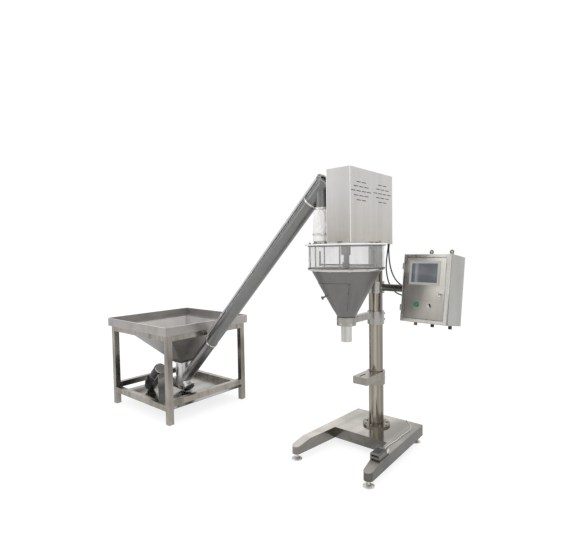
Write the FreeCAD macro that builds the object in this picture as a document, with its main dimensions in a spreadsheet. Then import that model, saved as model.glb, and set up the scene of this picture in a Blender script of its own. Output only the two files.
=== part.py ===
import FreeCAD, Part
import math
import os
import re
import Sketcher

# Auger powder filler with its inclined screw feeder.
# Filler axes: the discharge axis is x = y = 0, the floor is z = 0, +Z is up,
# +X is to the operator's right and +Y goes to the rear.  Millimetres.

os.makedirs("parts", exist_ok=True)
doc = FreeCAD.newDocument("AugerFiller")
sheet = doc.addObject("Spreadsheet::Sheet", "Sizes")

SIZES = {
    # where the discharge axis stands in the machine's own frame
    "row_x": 943, "row_y": -75,
    # shared clearances and sheet metal
    "slide_gap": 0.3, "hole_gap": 0.5, "sheet_wall": 3, "thin_wall": 2,
    # base: a folded U of sheet with two forward legs
    "base_top": 127, "base_skirt": 83, "base_rear_y": 627, "base_rear_half": 292,
    "base_front_half": 328, "leg_tip_y": -215, "leg_inner_front": 262,
    "leg_inner_rear": 223, "plate_front_y": 170, "tip_radius": 33,
    "slope_start_y": -110, "tip_drop": 29, "stiffener": 10, "foot_plate": 8,
    "foot_plate_reach": 83,
    # levelling feet
    "rear_foot_x": 255, "rear_foot_y": 575,
    "foot_pad_radius": 38, "foot_edge": 6, "foot_dome": 18, "stud_radius": 8,
    "nut_radius": 14, "nut_height": 14, "stud_above": 6,
    # column
    "column_y": 419, "outer_radius": 57.5, "column_wall": 3.2, "outer_top": 555,
    "flange_radius": 106, "flange_height": 14, "bolt_circle": 85,
    "bolt_radius": 5, "bolt_head_radius": 9, "bolt_head": 7, "bolt_count": 8,
    "bolt_below": 6, "inner_wall": 4, "inner_foot": 300, "top_flange_radius": 80,
    "top_flange": 10, "head_bottom": 1546,
    # support bracket on the outer column
    "bracket_top": 558, "bracket_band": 102, "band_wall": 12, "bracket_half": 60,
    "bracket_front_y": 176, "bracket_arm": 55, "slot_x": -13, "slot_half": 6,
    "slot_front_y": 193, "slot_rear_y": 280, "lug_half": 25, "lug_length": 26,
    "lug_slit": 4, "lug_bolt_radius": 5, "lug_bolt_head": 9,
    # neck clamp and collar under the hopper
    "neck_top": 1033, "neck_height": 59, "neck_radius": 68.5, "neck_wall": 4.5,
    "neck_lip": 6, "clamp_height": 102, "clamp_wall": 11, "neck_arm_half": 21,
    "neck_arm_depth": 50, "neck_drop": 3,
    # discharge tube and hopper cone
    "tube_radius": 37.5, "tube_wall": 2, "tube_step": 0.5, "tube_bottom": 858, "tube_flange_radius": 60,
    "tube_flange": 7, "cone_flange": 5, "cone_wall": 2.5, "cone_top": 1369,
    "cone_rim_radius": 246, "hopper_radius": 266, "acrylic_wall": 4,
    "hopper_ring_radius": 270, "hopper_ring": 9, "ring_groove": 5,
    "lid_radius": 286, "lid_height": 8, "lid_step": 4, "lid_step_radius": 260,
    "rod_circle": 254, "rod_radius": 5, "nut_wide": 9, "nut_tall": 10,
    "wing_span": 34, "wing_thick": 4, "wing_tall": 16,
    # cone door
    "door_low": 1081, "door_high": 1279, "door_gap": 0.5, "door_wall": 2,
    "window_margin": 18, "door_start": -150, "door_sweep": 100, "window_turn": 9,
    "hinge_rise": 4.5, "knuckle_radius": 3.5, "pin_radius": 1.5, "hinge_run": 8,
    "door_knob_radius": 13, "door_knob_rise": 22, "knob_turn": 4,
    # shafts and drives in the head
    "shaft_radius": 9, "auger_radius": 34.5, "auger_pitch": 60, "auger_bottom": 866,
    "auger_top": 1166, "auger_lead": 4, "flight_thick": 3, "housing_radius": 34, "housing_drop": 76,
    "hollow_radius": 16, "agitator_low": 1250, "agitator_high": 1640,
    "arm_radius": 6, "arm_reach": 225, "arm_z": 1400, "scraper_low": 1390,
    "scraper_high": 1500, "hub_radius": 24, "hub_height": 40,
    "pulley_radius": 45, "motor_pulley_radius": 30, "pulley_rise": 47,
    "pulley_height": 30, "belt_wall": 3, "belt_inset": 4, "motor_y": 200,
    "servo_half": 55, "servo_rise": 152, "servo_height": 210, "servo_flange": 12,
    "post_radius": 7, "post_spread": 62, "coupling_radius": 20, "coupling_height": 36, "coupling_gap": 2,
    "gear_half": 48, "gear_rise": 97, "gear_height": 230, "motor_shaft_radius": 8,
    # motor plate and case
    "case_half": 97, "case_front_y": -91, "case_rear_y": 514, "motor_plate": 12,
    "case_height": 508, "vent_length": 56, "vent_pitch": 70, "vent_height": 5,
    "vent_rise": 31, "vent_front_y": 54, "vent_rear_y": 355, "vent_front_drop": 157,
    "vent_rear_drop": 150,
    # inlet, cloth sleeve and its bands
    "inlet_x": -200, "spigot_radius": 66, "spigot_wall": 3, "spigot_top": 1650,
    "spigot_flange_radius": 77, "spigot_flange": 6, "cloth": 4, "hem_low": 1573,
    "hem_high": 1660, "sleeve_radius": 62, "sleeve_top": 1816, "cuff": 20,
    "band_height": 10, "band_thick": 2.5, "spout_radius": 48, "spout_wall": 2.5,
    "spout_low": 1790,
    # cabinet
    "arm_z_low": 1170, "arm_clamp_height": 90, "arm_clamp_wall": 14,
    "cabinet_z": 1215, "cabinet_yaw": -5.6, "cabinet_tilt": -8.2, "arm_tube_radius": 27,
    "cabinet_left": 264, "cabinet_right": 617, "cabinet_front": -50,
    "cabinet_back": 168, "cabinet_low": -236, "cabinet_high": 250, "tray": 15,
    "door_inset": 2, "leaf_gap": 0.4, "hinge_out": 6, "hinge_back": 8, "hinge_radius": 6,
    "hinge_pin": 3, "hinge_z": 150, "knuckle": 22, "panel_left": 318, "panel_right": 548,
    "panel_low": 30, "panel_high": 199, "panel_rise": 5, "screen_margin": 17,
    "screen_drop": 1.5, "button_x": 387, "button_z": -110, "button_radius": 14,
    "button_rise": 9, "button_travel": 4, "collar_radius": 19, "collar_rise": 4,
    "selector_x": 485, "selector_radius": 13, "selector_rise": 14, "lock_x": 560,
    "lock_z": -29, "lock_radius": 10, "lock_rise": 5, "key_radius": 4,
    "gland_radius": 12, "gland_height": 26, "gland_first": 311, "gland_pitch": 132,
    "gland_y": 95, "ear_half": 15, "ear_height": 58, "ear_hole": 5,
    "ear_inset": 98,
    # pedal on the right leg
    "pedal_left": 240, "pedal_right": 312, "pedal_front_y": -100, "pedal_rear_y": 26,
    "pedal_floor": 137, "cheek": 6, "cheek_top": 158, "cheek_round": 20, "pedal_pivot_y": 2,
    "pedal_pivot_z": 157, "pedal_pin": 5, "tread": 14, "tread_rise": 1, "cap_radius": 17,
    "cap_thick": 4, "cord_radius": 2.5, "plug_radius": 14, "plug_length": 44,
    "plug_x": -50, "plug_y": 735, "prong_length": 20, "prong_radius": 2.5,
    # cables from the head to the cabinet
    "cable_radius": 5,
    # inclined conveyor, about its own axis
    "tilt": 45, "axis_z": 1962, "conveyor_radius": 54, "conveyor_wall": 3,
    "conveyor_foot": -2534, "head_joint": -135, "head_end": 61, "head_ring_radius": 78,
    "head_ring": 20, "end_recess": 10, "mid_joint": -1831, "joint_radius": 62,
    "joint_width": 12, "foot_ring_radius": 60, "conduit_radius": 11, "conduit_offset": 67,
    "conduit_angle": 205, "conduit_low": -1790, "conduit_high": 41, "clip_half": 6,
    "clip_pitch": 560, "screw_shaft": 13, "screw_radius": 50, "screw_pitch": 110,
    "screw_low": -2510, "screw_high": -180, "stub_z": -2442, "stub_radius": 51,
    "stub_length": 95, "stub_cap": 10, "cradle_z": -2454, "cradle_half": 40,
    "cradle_thick": 10, "outlet_x": -1950, "outlet_radius": 75, "outlet_wall": 3,
    "outlet_top": 424, "outlet_flange": 90, "outlet_flange_thick": 6, "boot_floor": 182,
    # feeder hopper and frame
    "feeder_x": -2016, "feeder_half_x": 505, "feeder_half_y": 478, "rim_top": 865,
    "rim_height": 78, "pan_inset": 77, "pyramid_low": 430, "outlet_half": 75,
    "leg_size": 50, "leg_inset": 23, "rail_top": 781, "rail_height": 46,
    "side_rail_top": 168, "end_rail_top": 210, "low_rail": 53, "floor_sheet": 6,
    "floor_drop": 50,
    # feeder drive
    "gear_y": -200, "gear_x": -176, "gear_case_radius": 62, "gear_low": -2560,
    "gear_high": -2440, "motor_low": -2727, "motor_radius": 52, "disc_radius": 58,
    "disc_thick": 14, "link_thick": 26, "link_radius": 38, "link_gear_radius": 50,
    "mount_x": -1990, "mount_top": 333, "mount_run": 215, "mount_front": 62,
    "mount_rear": 10,
}
for row, (alias, value) in enumerate(SIZES.items(), start=1):
    sheet.set(f"A{row}", alias)
    sheet.set(f"B{row}", str(value))
    sheet.setAlias(f"B{row}", alias)
doc.recompute()
S = {alias: float(sheet.get(alias)) for alias in SIZES}

WORD = re.compile(r"[a-z][a-z_0-9]*")
X_AXIS = FreeCAD.Vector(1, 0, 0)
Y_AXIS = FreeCAD.Vector(0, 1, 0)
Z_AXIS = FreeCAD.Vector(0, 0, 1)
TURNED = {
    "X": FreeCAD.Rotation(Y_AXIS, 90),
    "Y": FreeCAD.Rotation(X_AXIS, -90),
    "Z": FreeCAD.Rotation(),
}
NODES = {}


def bound(text):
    """An expression in which each size's name points at its cell."""
    return WORD.sub(lambda m: "Sizes." + m.group(0) if m.group(0) in SIZES else m.group(0), str(text))


def bind(obj, **texts):
    for name, text in texts.items():
        obj.setExpression(name, bound(text))


def place(obj, x, y, z, rotation=None):
    if rotation is not None:
        obj.Placement = FreeCAD.Placement(FreeCAD.Vector(), rotation)
    for axis, text in (("x", x), ("y", y), ("z", z)):
        obj.setExpression("Placement.Base." + axis, bound(text))
    return obj


def block(x0, x1, y0, y1, z0, z1):
    box = doc.addObject("Part::Box", "Block")
    bind(box, Length=f"({x1}) - ({x0})", Width=f"({y1}) - ({y0})", Height=f"({z1}) - ({z0})")
    return place(box, x0, y0, z0)


def rod(x, y, z, radius, length, axis="Z"):
    """A cylinder that starts at the point and runs along the axis."""
    cylinder = doc.addObject("Part::Cylinder", "Rod")
    bind(cylinder, Radius=radius, Height=length)
    return place(cylinder, x, y, z, TURNED[axis])


def hexagon(x, y, z, radius, height):
    prism = doc.addObject("Part::Prism", "Hexagon")
    prism.Polygon = 6
    bind(prism, Circumradius=radius, Height=height)
    return place(prism, x, y, z)


def group(*members):
    compound = doc.addObject("Part::Compound", "Group")
    compound.Links = list(members)
    return compound


def moved(member, placement):
    """The same piece at another placement."""
    copy = group(member)
    copy.Placement = placement
    return copy


def fuse(*members):
    union = doc.addObject("Part::MultiFuse", "Union")
    union.Shapes = list(members)
    return union


def cut(base, *tools):
    difference = doc.addObject("Part::Cut", "Difference")
    difference.Base = base
    difference.Tool = tools[0] if len(tools) == 1 else fuse(*tools)
    return difference


def common(first, second):
    overlap = doc.addObject("Part::MultiCommon", "Overlap")
    overlap.Shapes = [first, second]
    return overlap


def sketched(corners, role):
    """A body with one closed outline of straight sides on an origin plane."""
    body = doc.addObject("PartDesign::Body", "Body")
    sketch = body.newObject("Sketcher::SketchObject", "Outline")
    plane = next(f for f in body.Origin.OriginFeatures if f.Role == role)
    sketch.AttachmentSupport = [(plane, "")]
    sketch.MapMode = "FlatFace"
    count = len(corners)
    ring = [
        FreeCAD.Vector(20 + 10 * math.cos(math.tau * i / count), 10 * math.sin(math.tau * i / count), 0)
        for i in range(count)
    ]
    for i in range(count):
        sketch.addGeometry(Part.LineSegment(ring[i], ring[(i + 1) % count]))
    for i in range(count):
        sketch.addConstraint(Sketcher.Constraint("Coincident", i, 2, (i + 1) % count, 1))
    for i, (across, up) in enumerate(corners):
        for kind, text in (("DistanceX", across), ("DistanceY", up)):
            k = sketch.addConstraint(Sketcher.Constraint(kind, -1, 1, i, 1, 1.0))
            sketch.setExpression(f"Constraints[{k}]", bound(text))
    return body, sketch


def revolved(profile, angle=360, at=("0", "0", "0")):
    """A turned piece: profile corners are (radius, height) about Z."""
    body, sketch = sketched(profile, "XZ_Plane")
    turn = body.newObject("PartDesign::Revolution", "Turned")
    turn.Profile = sketch
    turn.ReferenceAxis = (sketch, ["V_Axis"])
    turn.Angle = 360
    if angle != 360:
        bind(turn, Angle=angle)
    return place(body, *at)


def padded(outline, length, role="XY_Plane", at=("0", "0", "0")):
    body, sketch = sketched(outline, role)
    pad = body.newObject("PartDesign::Pad", "Pad")
    pad.Profile = sketch
    bind(pad, Length=length)
    return place(body, *at)


def ring(x, y, z, inner, outer, height, axis="Z"):
    """A plain ring of rectangular section."""
    return cut(rod(x, y, z, outer, height, axis), rod(x, y, z, inner, height, axis))


def around(member, count, start=0.0, centre=(0.0, 0.0)):
    """Copies of a piece turned evenly about a vertical axis."""
    middle = FreeCAD.Vector(*centre, 0)
    turns = [FreeCAD.Rotation(Z_AXIS, start + 360 * i / count) for i in range(int(count))]
    return [moved(member, FreeCAD.Placement(FreeCAD.Vector(), turn, middle)) for turn in turns]


FILLER = FreeCAD.Placement(FreeCAD.Vector(S["row_x"], S["row_y"], 0), FreeCAD.Rotation())
CONVEYOR = FILLER * FreeCAD.Placement(
    FreeCAD.Vector(S["inlet_x"], 0, S["axis_z"]), FreeCAD.Rotation(Y_AXIS, S["tilt"])
)
CABINET = FILLER * FreeCAD.Placement(
    FreeCAD.Vector(0, S["column_y"], S["cabinet_z"]),
    FreeCAD.Rotation(Z_AXIS, S["cabinet_yaw"]) * FreeCAD.Rotation(X_AXIS, S["cabinet_tilt"]),
)


def node(label, member, frame=FILLER):
    """Names a finished sub-part and stands it in its frame."""
    part = group(member)
    part.Placement = frame
    part.Label = label
    NODES[label] = part


# ---------------------------------------------------------------- base
FRONT_FOOT_X = "(base_front_half - tip_radius)"


def base_plan(inset):
    """Plan of the folded U, drawn in by the inset."""
    return [
        (f"-(base_rear_half - {inset})", f"base_rear_y - {inset}"),
        (f"base_rear_half - {inset}", f"base_rear_y - {inset}"),
        (f"base_front_half - {inset}", "leg_tip_y"),
        (f"leg_inner_front + {inset}", "leg_tip_y"),
        (f"leg_inner_rear + {inset}", f"plate_front_y + {inset}"),
        (f"-(leg_inner_rear + {inset})", f"plate_front_y + {inset}"),
        (f"-(leg_inner_front + {inset})", "leg_tip_y"),
        (f"-(base_front_half - {inset})", "leg_tip_y"),
    ]


def base_body(inset, drop, low):
    """The U as a solid: rounded tips and tops that slope down forwards."""
    height = f"base_top - ({low})"
    tips = [rod(f"{side}*{FRONT_FOOT_X}", "leg_tip_y", low, f"tip_radius - {inset}", height)
            for side in (-1, 1)]
    plan = fuse(padded(base_plan(inset), height, at=("0", "0", low)), *tips)
    side = [
        ("leg_tip_y - tip_radius", low),
        ("base_rear_y", low),
        ("base_rear_y", f"base_top - {drop}"),
        ("slope_start_y", f"base_top - {drop}"),
        ("leg_tip_y - tip_radius", f"base_top - tip_drop - {drop}"),
    ]
    return common(plan, padded(side, "2*base_front_half", "YZ_Plane", ("-base_front_half", "0", "0")))


def foot_positions():
    return [
        (f"{side}*{x}", y)
        for x, y in ((FRONT_FOOT_X, "leg_tip_y"), ("rear_foot_x", "rear_foot_y"))
        for side in (-1, 1)
    ]


SKIRT = "(base_top - base_skirt)"
BASE_SOLID = base_body("0", "0", SKIRT)
hollow = base_body("sheet_wall", "sheet_wall", f"{SKIRT} - 1")
foot_plates = [
    common(base_body("0", "0", SKIRT), rod(x, y, SKIRT, "foot_plate_reach", "foot_plate"))
    for x, y in foot_positions()
]
stiff = block("-flange_radius", "flange_radius", "column_y - flange_radius", "column_y + flange_radius",
              "base_top - sheet_wall - stiffener", "base_top - 1")
stud_holes = [rod(x, y, f"{SKIRT} - 1", "stud_radius + hole_gap", "foot_plate + 2")
              for x, y in foot_positions()]
COLUMN = (0.0, S["column_y"])
bolt_hole = rod("bolt_circle", "column_y", "base_top - 2*stiffener", "bolt_radius + hole_gap",
                "2*stiffener + flange_height + 1")
base = cut(fuse(cut(BASE_SOLID, hollow), stiff, *foot_plates), *stud_holes,
           *around(bolt_hole, S["bolt_count"], centre=COLUMN))
node("base_frame", base)

FOOT_PROFILE = [
    ("0", "0"), ("foot_pad_radius", "0"), ("foot_pad_radius", "foot_edge"),
    ("nut_radius", "foot_dome"), ("stud_radius", "foot_dome"),
    ("stud_radius", f"{SKIRT} - nut_height"), ("nut_radius", f"{SKIRT} - nut_height"),
    ("nut_radius", SKIRT), ("stud_radius", SKIRT),
    ("stud_radius", f"{SKIRT} + foot_plate + stud_above"), ("0", f"{SKIRT} + foot_plate + stud_above"),
]
foot = revolved(FOOT_PROFILE)
node("levelling_feet", group(*[place(group(foot), x, y, "0") for x, y in foot_positions()]))

# ---------------------------------------------------------------- column
BORE = "(outer_radius - column_wall)"
INNER = "(outer_radius - column_wall - slide_gap)"
column = revolved([
    (BORE, "base_top"), ("flange_radius", "base_top"), ("flange_radius", "base_top + flange_height"),
    ("outer_radius", "base_top + flange_height"), ("outer_radius", "outer_top"), (BORE, "outer_top"),
], at=("0", "column_y", "0"))
node("outer_column", cut(column, *around(bolt_hole, S["bolt_count"], centre=COLUMN)))

bolt = fuse(
    hexagon("bolt_circle", "column_y", "base_top + flange_height", "bolt_head_radius", "bolt_head"),
    rod("bolt_circle", "column_y", "base_top - bolt_below", "bolt_radius", "flange_height + bolt_below + 1"),
)
node("flange_bolts", group(*around(bolt, S["bolt_count"], centre=COLUMN)))

inner = revolved([
    (f"{INNER} - inner_wall", "inner_foot"), (INNER, "inner_foot"),
    (INNER, "head_bottom - top_flange"), ("top_flange_radius", "head_bottom - top_flange"),
    ("top_flange_radius", "head_bottom"), (f"{INNER} - inner_wall", "head_bottom"),
], at=("0", "column_y", "0"))
node("inner_column", inner)


# ---------------------------------------------------------------- split clamps
def split_clamp(bore, outer, low, height, arm):
    """A band with an arm forwards and a pair of slit lugs at the rear."""
    lugs = block("-lug_half", "lug_half", f"column_y + {bore} + 1", f"column_y + {outer} + lug_length",
                 f"{low} + bolt_head_radius", f"{low} + {height} - bolt_head_radius")
    body = fuse(rod("0", "column_y", low, outer, height), arm, lugs)
    slit = block("-lug_slit/2", "lug_slit/2", "column_y", f"column_y + {outer} + 2*lug_length",
                 f"{low} - 1", f"{low} + {height} + 1")
    holes = [rod("-lug_half - 1", f"column_y + {outer} + lug_length/2", f"{low} + {height}*{share}",
                 "lug_bolt_radius + hole_gap", "2*lug_half + 2", "X") for share in LUG_SHARES]
    return cut(body, rod("0", "column_y", f"{low} - 1", bore, f"{height} + 2"), slit, *holes)


def lug_bolts(outer, low, height):
    """Through bolts of a split clamp, head on one side and nut on the other."""
    bolts = []
    for share in LUG_SHARES:
        y = f"column_y + {outer} + lug_length/2"
        z = f"{low} + {height}*{share}"
        bolts.append(fuse(
            rod("-lug_half - lug_bolt_head", y, z, "lug_bolt_radius", "2*lug_half + 2*lug_bolt_head", "X"),
            rod("-lug_half - lug_bolt_head", y, z, "lug_bolt_head", "lug_bolt_head", "X"),
            rod("lug_half", y, z, "lug_bolt_head", "lug_bolt_head", "X"),
        ))
    return bolts


LUG_SHARES = (0.28, 0.72)
BRACKET_BORE = "(outer_radius + slide_gap)"
BRACKET_OUTER = "(outer_radius + band_wall)"
BRACKET_LOW = "(bracket_top - bracket_band)"
bracket_arm = cut(
    block("-bracket_half", "bracket_half", "bracket_front_y", "column_y",
          "bracket_top - bracket_arm", "bracket_top"),
    block("slot_x - slot_half", "slot_x + slot_half", "slot_front_y", "slot_rear_y",
          "bracket_top - bracket_arm - 1", "bracket_top + 1"),
)
node("support_bracket",
     split_clamp(BRACKET_BORE, BRACKET_OUTER, BRACKET_LOW, "bracket_band", bracket_arm))
node("bracket_bolts", group(*lug_bolts(BRACKET_OUTER, BRACKET_LOW, "bracket_band")))

NECK_LOW = "(neck_top - neck_height)"
CLAMP_TOP = "(neck_top - neck_drop)"
CLAMP_LOW = f"({CLAMP_TOP} - clamp_height)"
CLAMP_OUTER = f"({INNER} + clamp_wall)"
neck_arm = cut(
    block("-neck_arm_half", "neck_arm_half", "0", "column_y", f"{CLAMP_TOP} - neck_arm_depth", CLAMP_TOP),
    rod("0", "0", CLAMP_LOW, "neck_radius", "clamp_height + 1"),
)
node("neck_clamp", split_clamp(INNER, CLAMP_OUTER, CLAMP_LOW, "clamp_height", neck_arm))
node("neck_clamp_bolts", group(*lug_bolts(CLAMP_OUTER, CLAMP_LOW, "clamp_height")))

# ---------------------------------------------------------------- hopper
LIP_TOP = f"({NECK_LOW} + neck_lip)"
node("neck_collar", revolved([
    ("tube_radius + slide_gap", NECK_LOW), ("neck_radius", NECK_LOW), ("neck_radius", "neck_top"),
    ("neck_radius - neck_wall", "neck_top"), ("neck_radius - neck_wall", LIP_TOP),
    ("tube_radius + slide_gap", LIP_TOP),
]))
FLANGE_TOP = f"({LIP_TOP} + tube_flange)"
node("discharge_tube", revolved([
    ("tube_radius - tube_wall", "tube_bottom"), ("tube_radius", "tube_bottom"),
    ("tube_radius", NECK_LOW), ("tube_radius - tube_step", NECK_LOW),
    ("tube_radius - tube_step", LIP_TOP), ("tube_flange_radius", LIP_TOP),
    ("tube_flange_radius", FLANGE_TOP), ("tube_radius - tube_wall", FLANGE_TOP),
]))

# the cone's outside radius grows evenly from its foot to its rim
CONE_FOOT = "(tube_radius - tube_wall + cone_wall)"
SLOPE = f"((cone_rim_radius - {CONE_FOOT}) / (cone_top - {FLANGE_TOP}))"
foot_z = S["neck_top"] - S["neck_height"] + S["neck_lip"] + S["tube_flange"]
foot_radius = S["tube_radius"] - S["tube_wall"] + S["cone_wall"]
slope = (S["cone_rim_radius"] - foot_radius) / (S["cone_top"] - foot_z)


def cone_at(z):
    """Outside radius of the cone at a height, as an expression."""
    return f"({CONE_FOOT} + {SLOPE} * ({z} - {FLANGE_TOP}))"


def cone_sector(low, high, inside, outside, sweep, start):
    """A curved plate between two offsets from the cone's outside."""
    plate = revolved([
        (f"{cone_at(low)} + {inside}", low), (f"{cone_at(low)} + {outside}", low),
        (f"{cone_at(high)} + {outside}", high), (f"{cone_at(high)} + {inside}", high),
    ], angle=sweep)
    return moved(plate, FreeCAD.Placement(FreeCAD.Vector(), FreeCAD.Rotation(Z_AXIS, start)))


# hinge frame: origin on the cone's foot circle, Z up the generator, X outwards
lean = math.degrees(math.atan(slope))
HINGE = (
    FreeCAD.Placement(FreeCAD.Vector(), FreeCAD.Rotation(Z_AXIS, S["door_start"] + S["door_sweep"]))
    * FreeCAD.Placement(FreeCAD.Vector(foot_radius, 0, foot_z), FreeCAD.Rotation(Y_AXIS, lean))
)
SPAN = f"((door_high - door_low) * sqrt(1 + {SLOPE}^2) / 3)"
HINGE_LOW = f"((door_low - {FLANGE_TOP}) * sqrt(1 + {SLOPE}^2))"


def knuckle_part(index, bore, leaf):
    """One third of the cone hinge: a bored barrel and the leaf that holds it."""
    low = f"({HINGE_LOW} + {SPAN}*{index} + slide_gap)"
    length = f"({SPAN} - 2*slide_gap)"
    barrel = fuse(rod("hinge_rise", "0", low, "knuckle_radius", length), leaf(low, length))
    return moved(cut(barrel, rod("hinge_rise", "0", f"{low} - 1", bore, f"{length} + 2")), HINGE)


def cone_leaf(low, length):
    return block("-cone_wall/2", "hinge_rise", "0", "knuckle_radius", low, f"{low} + {length}")


def door_leaf(low, length):
    return block("door_gap + door_wall/2", "hinge_rise", "-hinge_run - knuckle_radius", "0", low,
                 f"{low} + {length}")


mean_radius = foot_radius + slope * ((S["door_low"] + S["door_high"]) / 2 - foot_z)
EDGE_CLEARANCE = 1.5
low_radius = foot_radius + slope * (S["door_low"] - foot_z)
edge_turn = math.degrees((S["knuckle_radius"] + EDGE_CLEARANCE) / low_radius)
cone_shell = revolved([
    (f"{CONE_FOOT} - cone_wall", FLANGE_TOP), ("tube_flange_radius", FLANGE_TOP),
    ("tube_flange_radius", f"{FLANGE_TOP} + cone_flange"),
    (cone_at(f"({FLANGE_TOP} + cone_flange)"), f"{FLANGE_TOP} + cone_flange"),
    ("cone_rim_radius", "cone_top"), ("cone_rim_radius - cone_wall", "cone_top"),
])
window = cone_sector("(door_low + window_margin)", "(door_high - window_margin)", "-3*cone_wall",
                     "3*cone_wall", "door_sweep - 2*window_turn", S["door_start"] + S["window_turn"])
node("hopper_cone", fuse(cut(cone_shell, window), knuckle_part(0, "pin_radius", cone_leaf),
                         knuckle_part(2, "pin_radius", cone_leaf)))
node("cone_hinge_pin", moved(
    rod("hinge_rise", "0", HINGE_LOW, "pin_radius", f"3*{SPAN}"), HINGE))
door_plate = cone_sector("door_low", "door_high", "door_gap", "door_gap + door_wall",
                         f"door_sweep - {edge_turn}", S["door_start"])
knob_turn = S["door_start"] + S["knob_turn"]
KNOB = (
    FreeCAD.Placement(FreeCAD.Vector(), FreeCAD.Rotation(Z_AXIS, knob_turn))
    * FreeCAD.Placement(FreeCAD.Vector(mean_radius, 0, (S["door_low"] + S["door_high"]) / 2),
                        FreeCAD.Rotation(Y_AXIS, lean))
)
door_knob = moved(fuse(
    rod("door_gap + door_wall/2", "0", "0", "door_knob_radius/2", "door_knob_rise", "X"),
    rod("door_knob_rise", "0", "0", "door_knob_radius", "door_knob_radius", "X"),
), KNOB)
node("cone_door", fuse(door_plate, knuckle_part(1, "pin_radius + slide_gap", door_leaf), door_knob))

RING_TOP = "(cone_top + hopper_ring)"
GLASS_LOW = "(cone_top + hopper_ring - ring_groove)"
LID_LOW = "(head_bottom - lid_height)"
node("hopper_ring", revolved([
    ("cone_rim_radius - cone_wall", "cone_top"), ("hopper_ring_radius", "cone_top"),
    ("hopper_ring_radius", RING_TOP), ("hopper_radius", RING_TOP), ("hopper_radius", GLASS_LOW),
    ("cone_rim_radius - cone_wall", GLASS_LOW),
]))
node("acrylic_cylinder", ring("0", "0", GLASS_LOW, "hopper_radius - acrylic_wall", "hopper_radius",
                              f"{LID_LOW} - {GLASS_LOW}"))
ROD_TURNS = (-150, -110, -66, 6, 62, 118, 162)


def at_rods(member):
    return [moved(member, FreeCAD.Placement(FreeCAD.Vector(), FreeCAD.Rotation(Z_AXIS, turn)))
            for turn in ROD_TURNS]


lid = fuse(rod("0", "0", LID_LOW, "lid_radius", "lid_height"),
           rod("0", "0", f"{LID_LOW} - lid_step", "lid_step_radius", "lid_step + 1"))
rod_hole = rod("rod_circle", "0", f"{LID_LOW} - lid_step - 1", "rod_radius + hole_gap",
               "lid_height + lid_step + 2")
node("lid_plate", cut(
    lid,
    rod("0", "0", f"{LID_LOW} - lid_step - 1", "housing_radius + hole_gap", "lid_height + lid_step + 2"),
    rod("inlet_x", "0", f"{LID_LOW} - lid_step - 1", "spigot_radius - spigot_wall",
        "lid_height + lid_step + 2"),
    *at_rods(rod_hole),
))
tie_rod = fuse(
    rod("rod_circle", "0", GLASS_LOW, "rod_radius", f"head_bottom + nut_tall + 2 - {GLASS_LOW}"),
    rod("rod_circle", "0", "head_bottom", "nut_wide", "nut_tall"),
    block("rod_circle - wing_thick/2", "rod_circle + wing_thick/2", "-wing_span/2", "wing_span/2",
          "head_bottom + nut_tall/2", "head_bottom + wing_tall"),
)
node("tie_rods", group(*at_rods(tie_rod)))

# ---------------------------------------------------------------- inlet and sleeve
node("inlet_spigot", revolved([
    ("spigot_radius - spigot_wall", "head_bottom"), ("spigot_flange_radius", "head_bottom"),
    ("spigot_flange_radius", "head_bottom + spigot_flange"),
    ("spigot_radius", "head_bottom + spigot_flange"), ("spigot_radius", "spigot_top"),
    ("spigot_radius - spigot_wall", "spigot_top"),
], at=("inlet_x", "0", "0")))
HEM = "(spigot_radius + slide_gap)"
CUFF = "(spout_radius + slide_gap)"
CUFF_LOW = "(sleeve_top - cuff)"
node("cloth_sleeve", revolved([
    (HEM, "hem_low"), (f"{HEM} + cloth", "hem_low"), (f"{HEM} + cloth", "hem_high"),
    ("sleeve_radius", "hem_high + cuff"), ("sleeve_radius", f"{CUFF_LOW} - cuff"),
    (f"{CUFF} + cloth", CUFF_LOW), (f"{CUFF} + cloth", "sleeve_top"), (CUFF, "sleeve_top"),
    (CUFF, CUFF_LOW), ("sleeve_radius - cloth", f"{CUFF_LOW} - cuff"),
    ("sleeve_radius - cloth", "hem_high + cuff"), (HEM, "hem_high"),
], at=("inlet_x", "0", "0")))
node("sleeve_band_lower", ring("inlet_x", "0", "(hem_low + hem_high)/2", f"{HEM} + cloth",
                               f"{HEM} + cloth + band_thick", "band_height"))
node("sleeve_band_upper", ring("inlet_x", "0", f"{CUFF_LOW} + cuff/3", f"{CUFF} + cloth",
                               f"{CUFF} + cloth + band_thick", "band_height"))

# ---------------------------------------------------------------- head drives
HOLLOW_BORE = "(shaft_radius + slide_gap)"
HOUSING_BORE = "(hollow_radius + slide_gap)"
PLATE_TOP = "(head_bottom + motor_plate)"
CASE_TOP = f"({PLATE_TOP} + case_height)"
SERVO_BASE = f"({PLATE_TOP} + servo_rise)"
GEAR_BASE = f"({PLATE_TOP} + gear_rise)"
PULLEY_LOW = f"({PLATE_TOP} + pulley_rise)"
node("shaft_housing", ring("0", "0", "head_bottom - housing_drop", HOUSING_BORE, "housing_radius",
                           "housing_drop"))
node("motor_plate", cut(
    block("-case_half", "case_half", "case_front_y", "case_rear_y", "head_bottom", PLATE_TOP),
    rod("0", "0", "head_bottom - 1", "hollow_radius + hole_gap", "motor_plate + 2"),
))


def vent_group(y, z):
    """Short slots in five rows that make a diamond."""
    slots = []
    for level, count in enumerate(VENT_ROWS):
        for i in range(count):
            left = f"{y} + vent_pitch*{i - (count - 1) / 2} - vent_length/2"
            low = f"{z} + vent_rise*{(len(VENT_ROWS) - 1) / 2 - level} - vent_height/2"
            slots.append(block("case_half - 2*thin_wall", "case_half + 1", left, f"{left} + vent_length",
                               low, f"{low} + vent_height"))
    return slots


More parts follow.
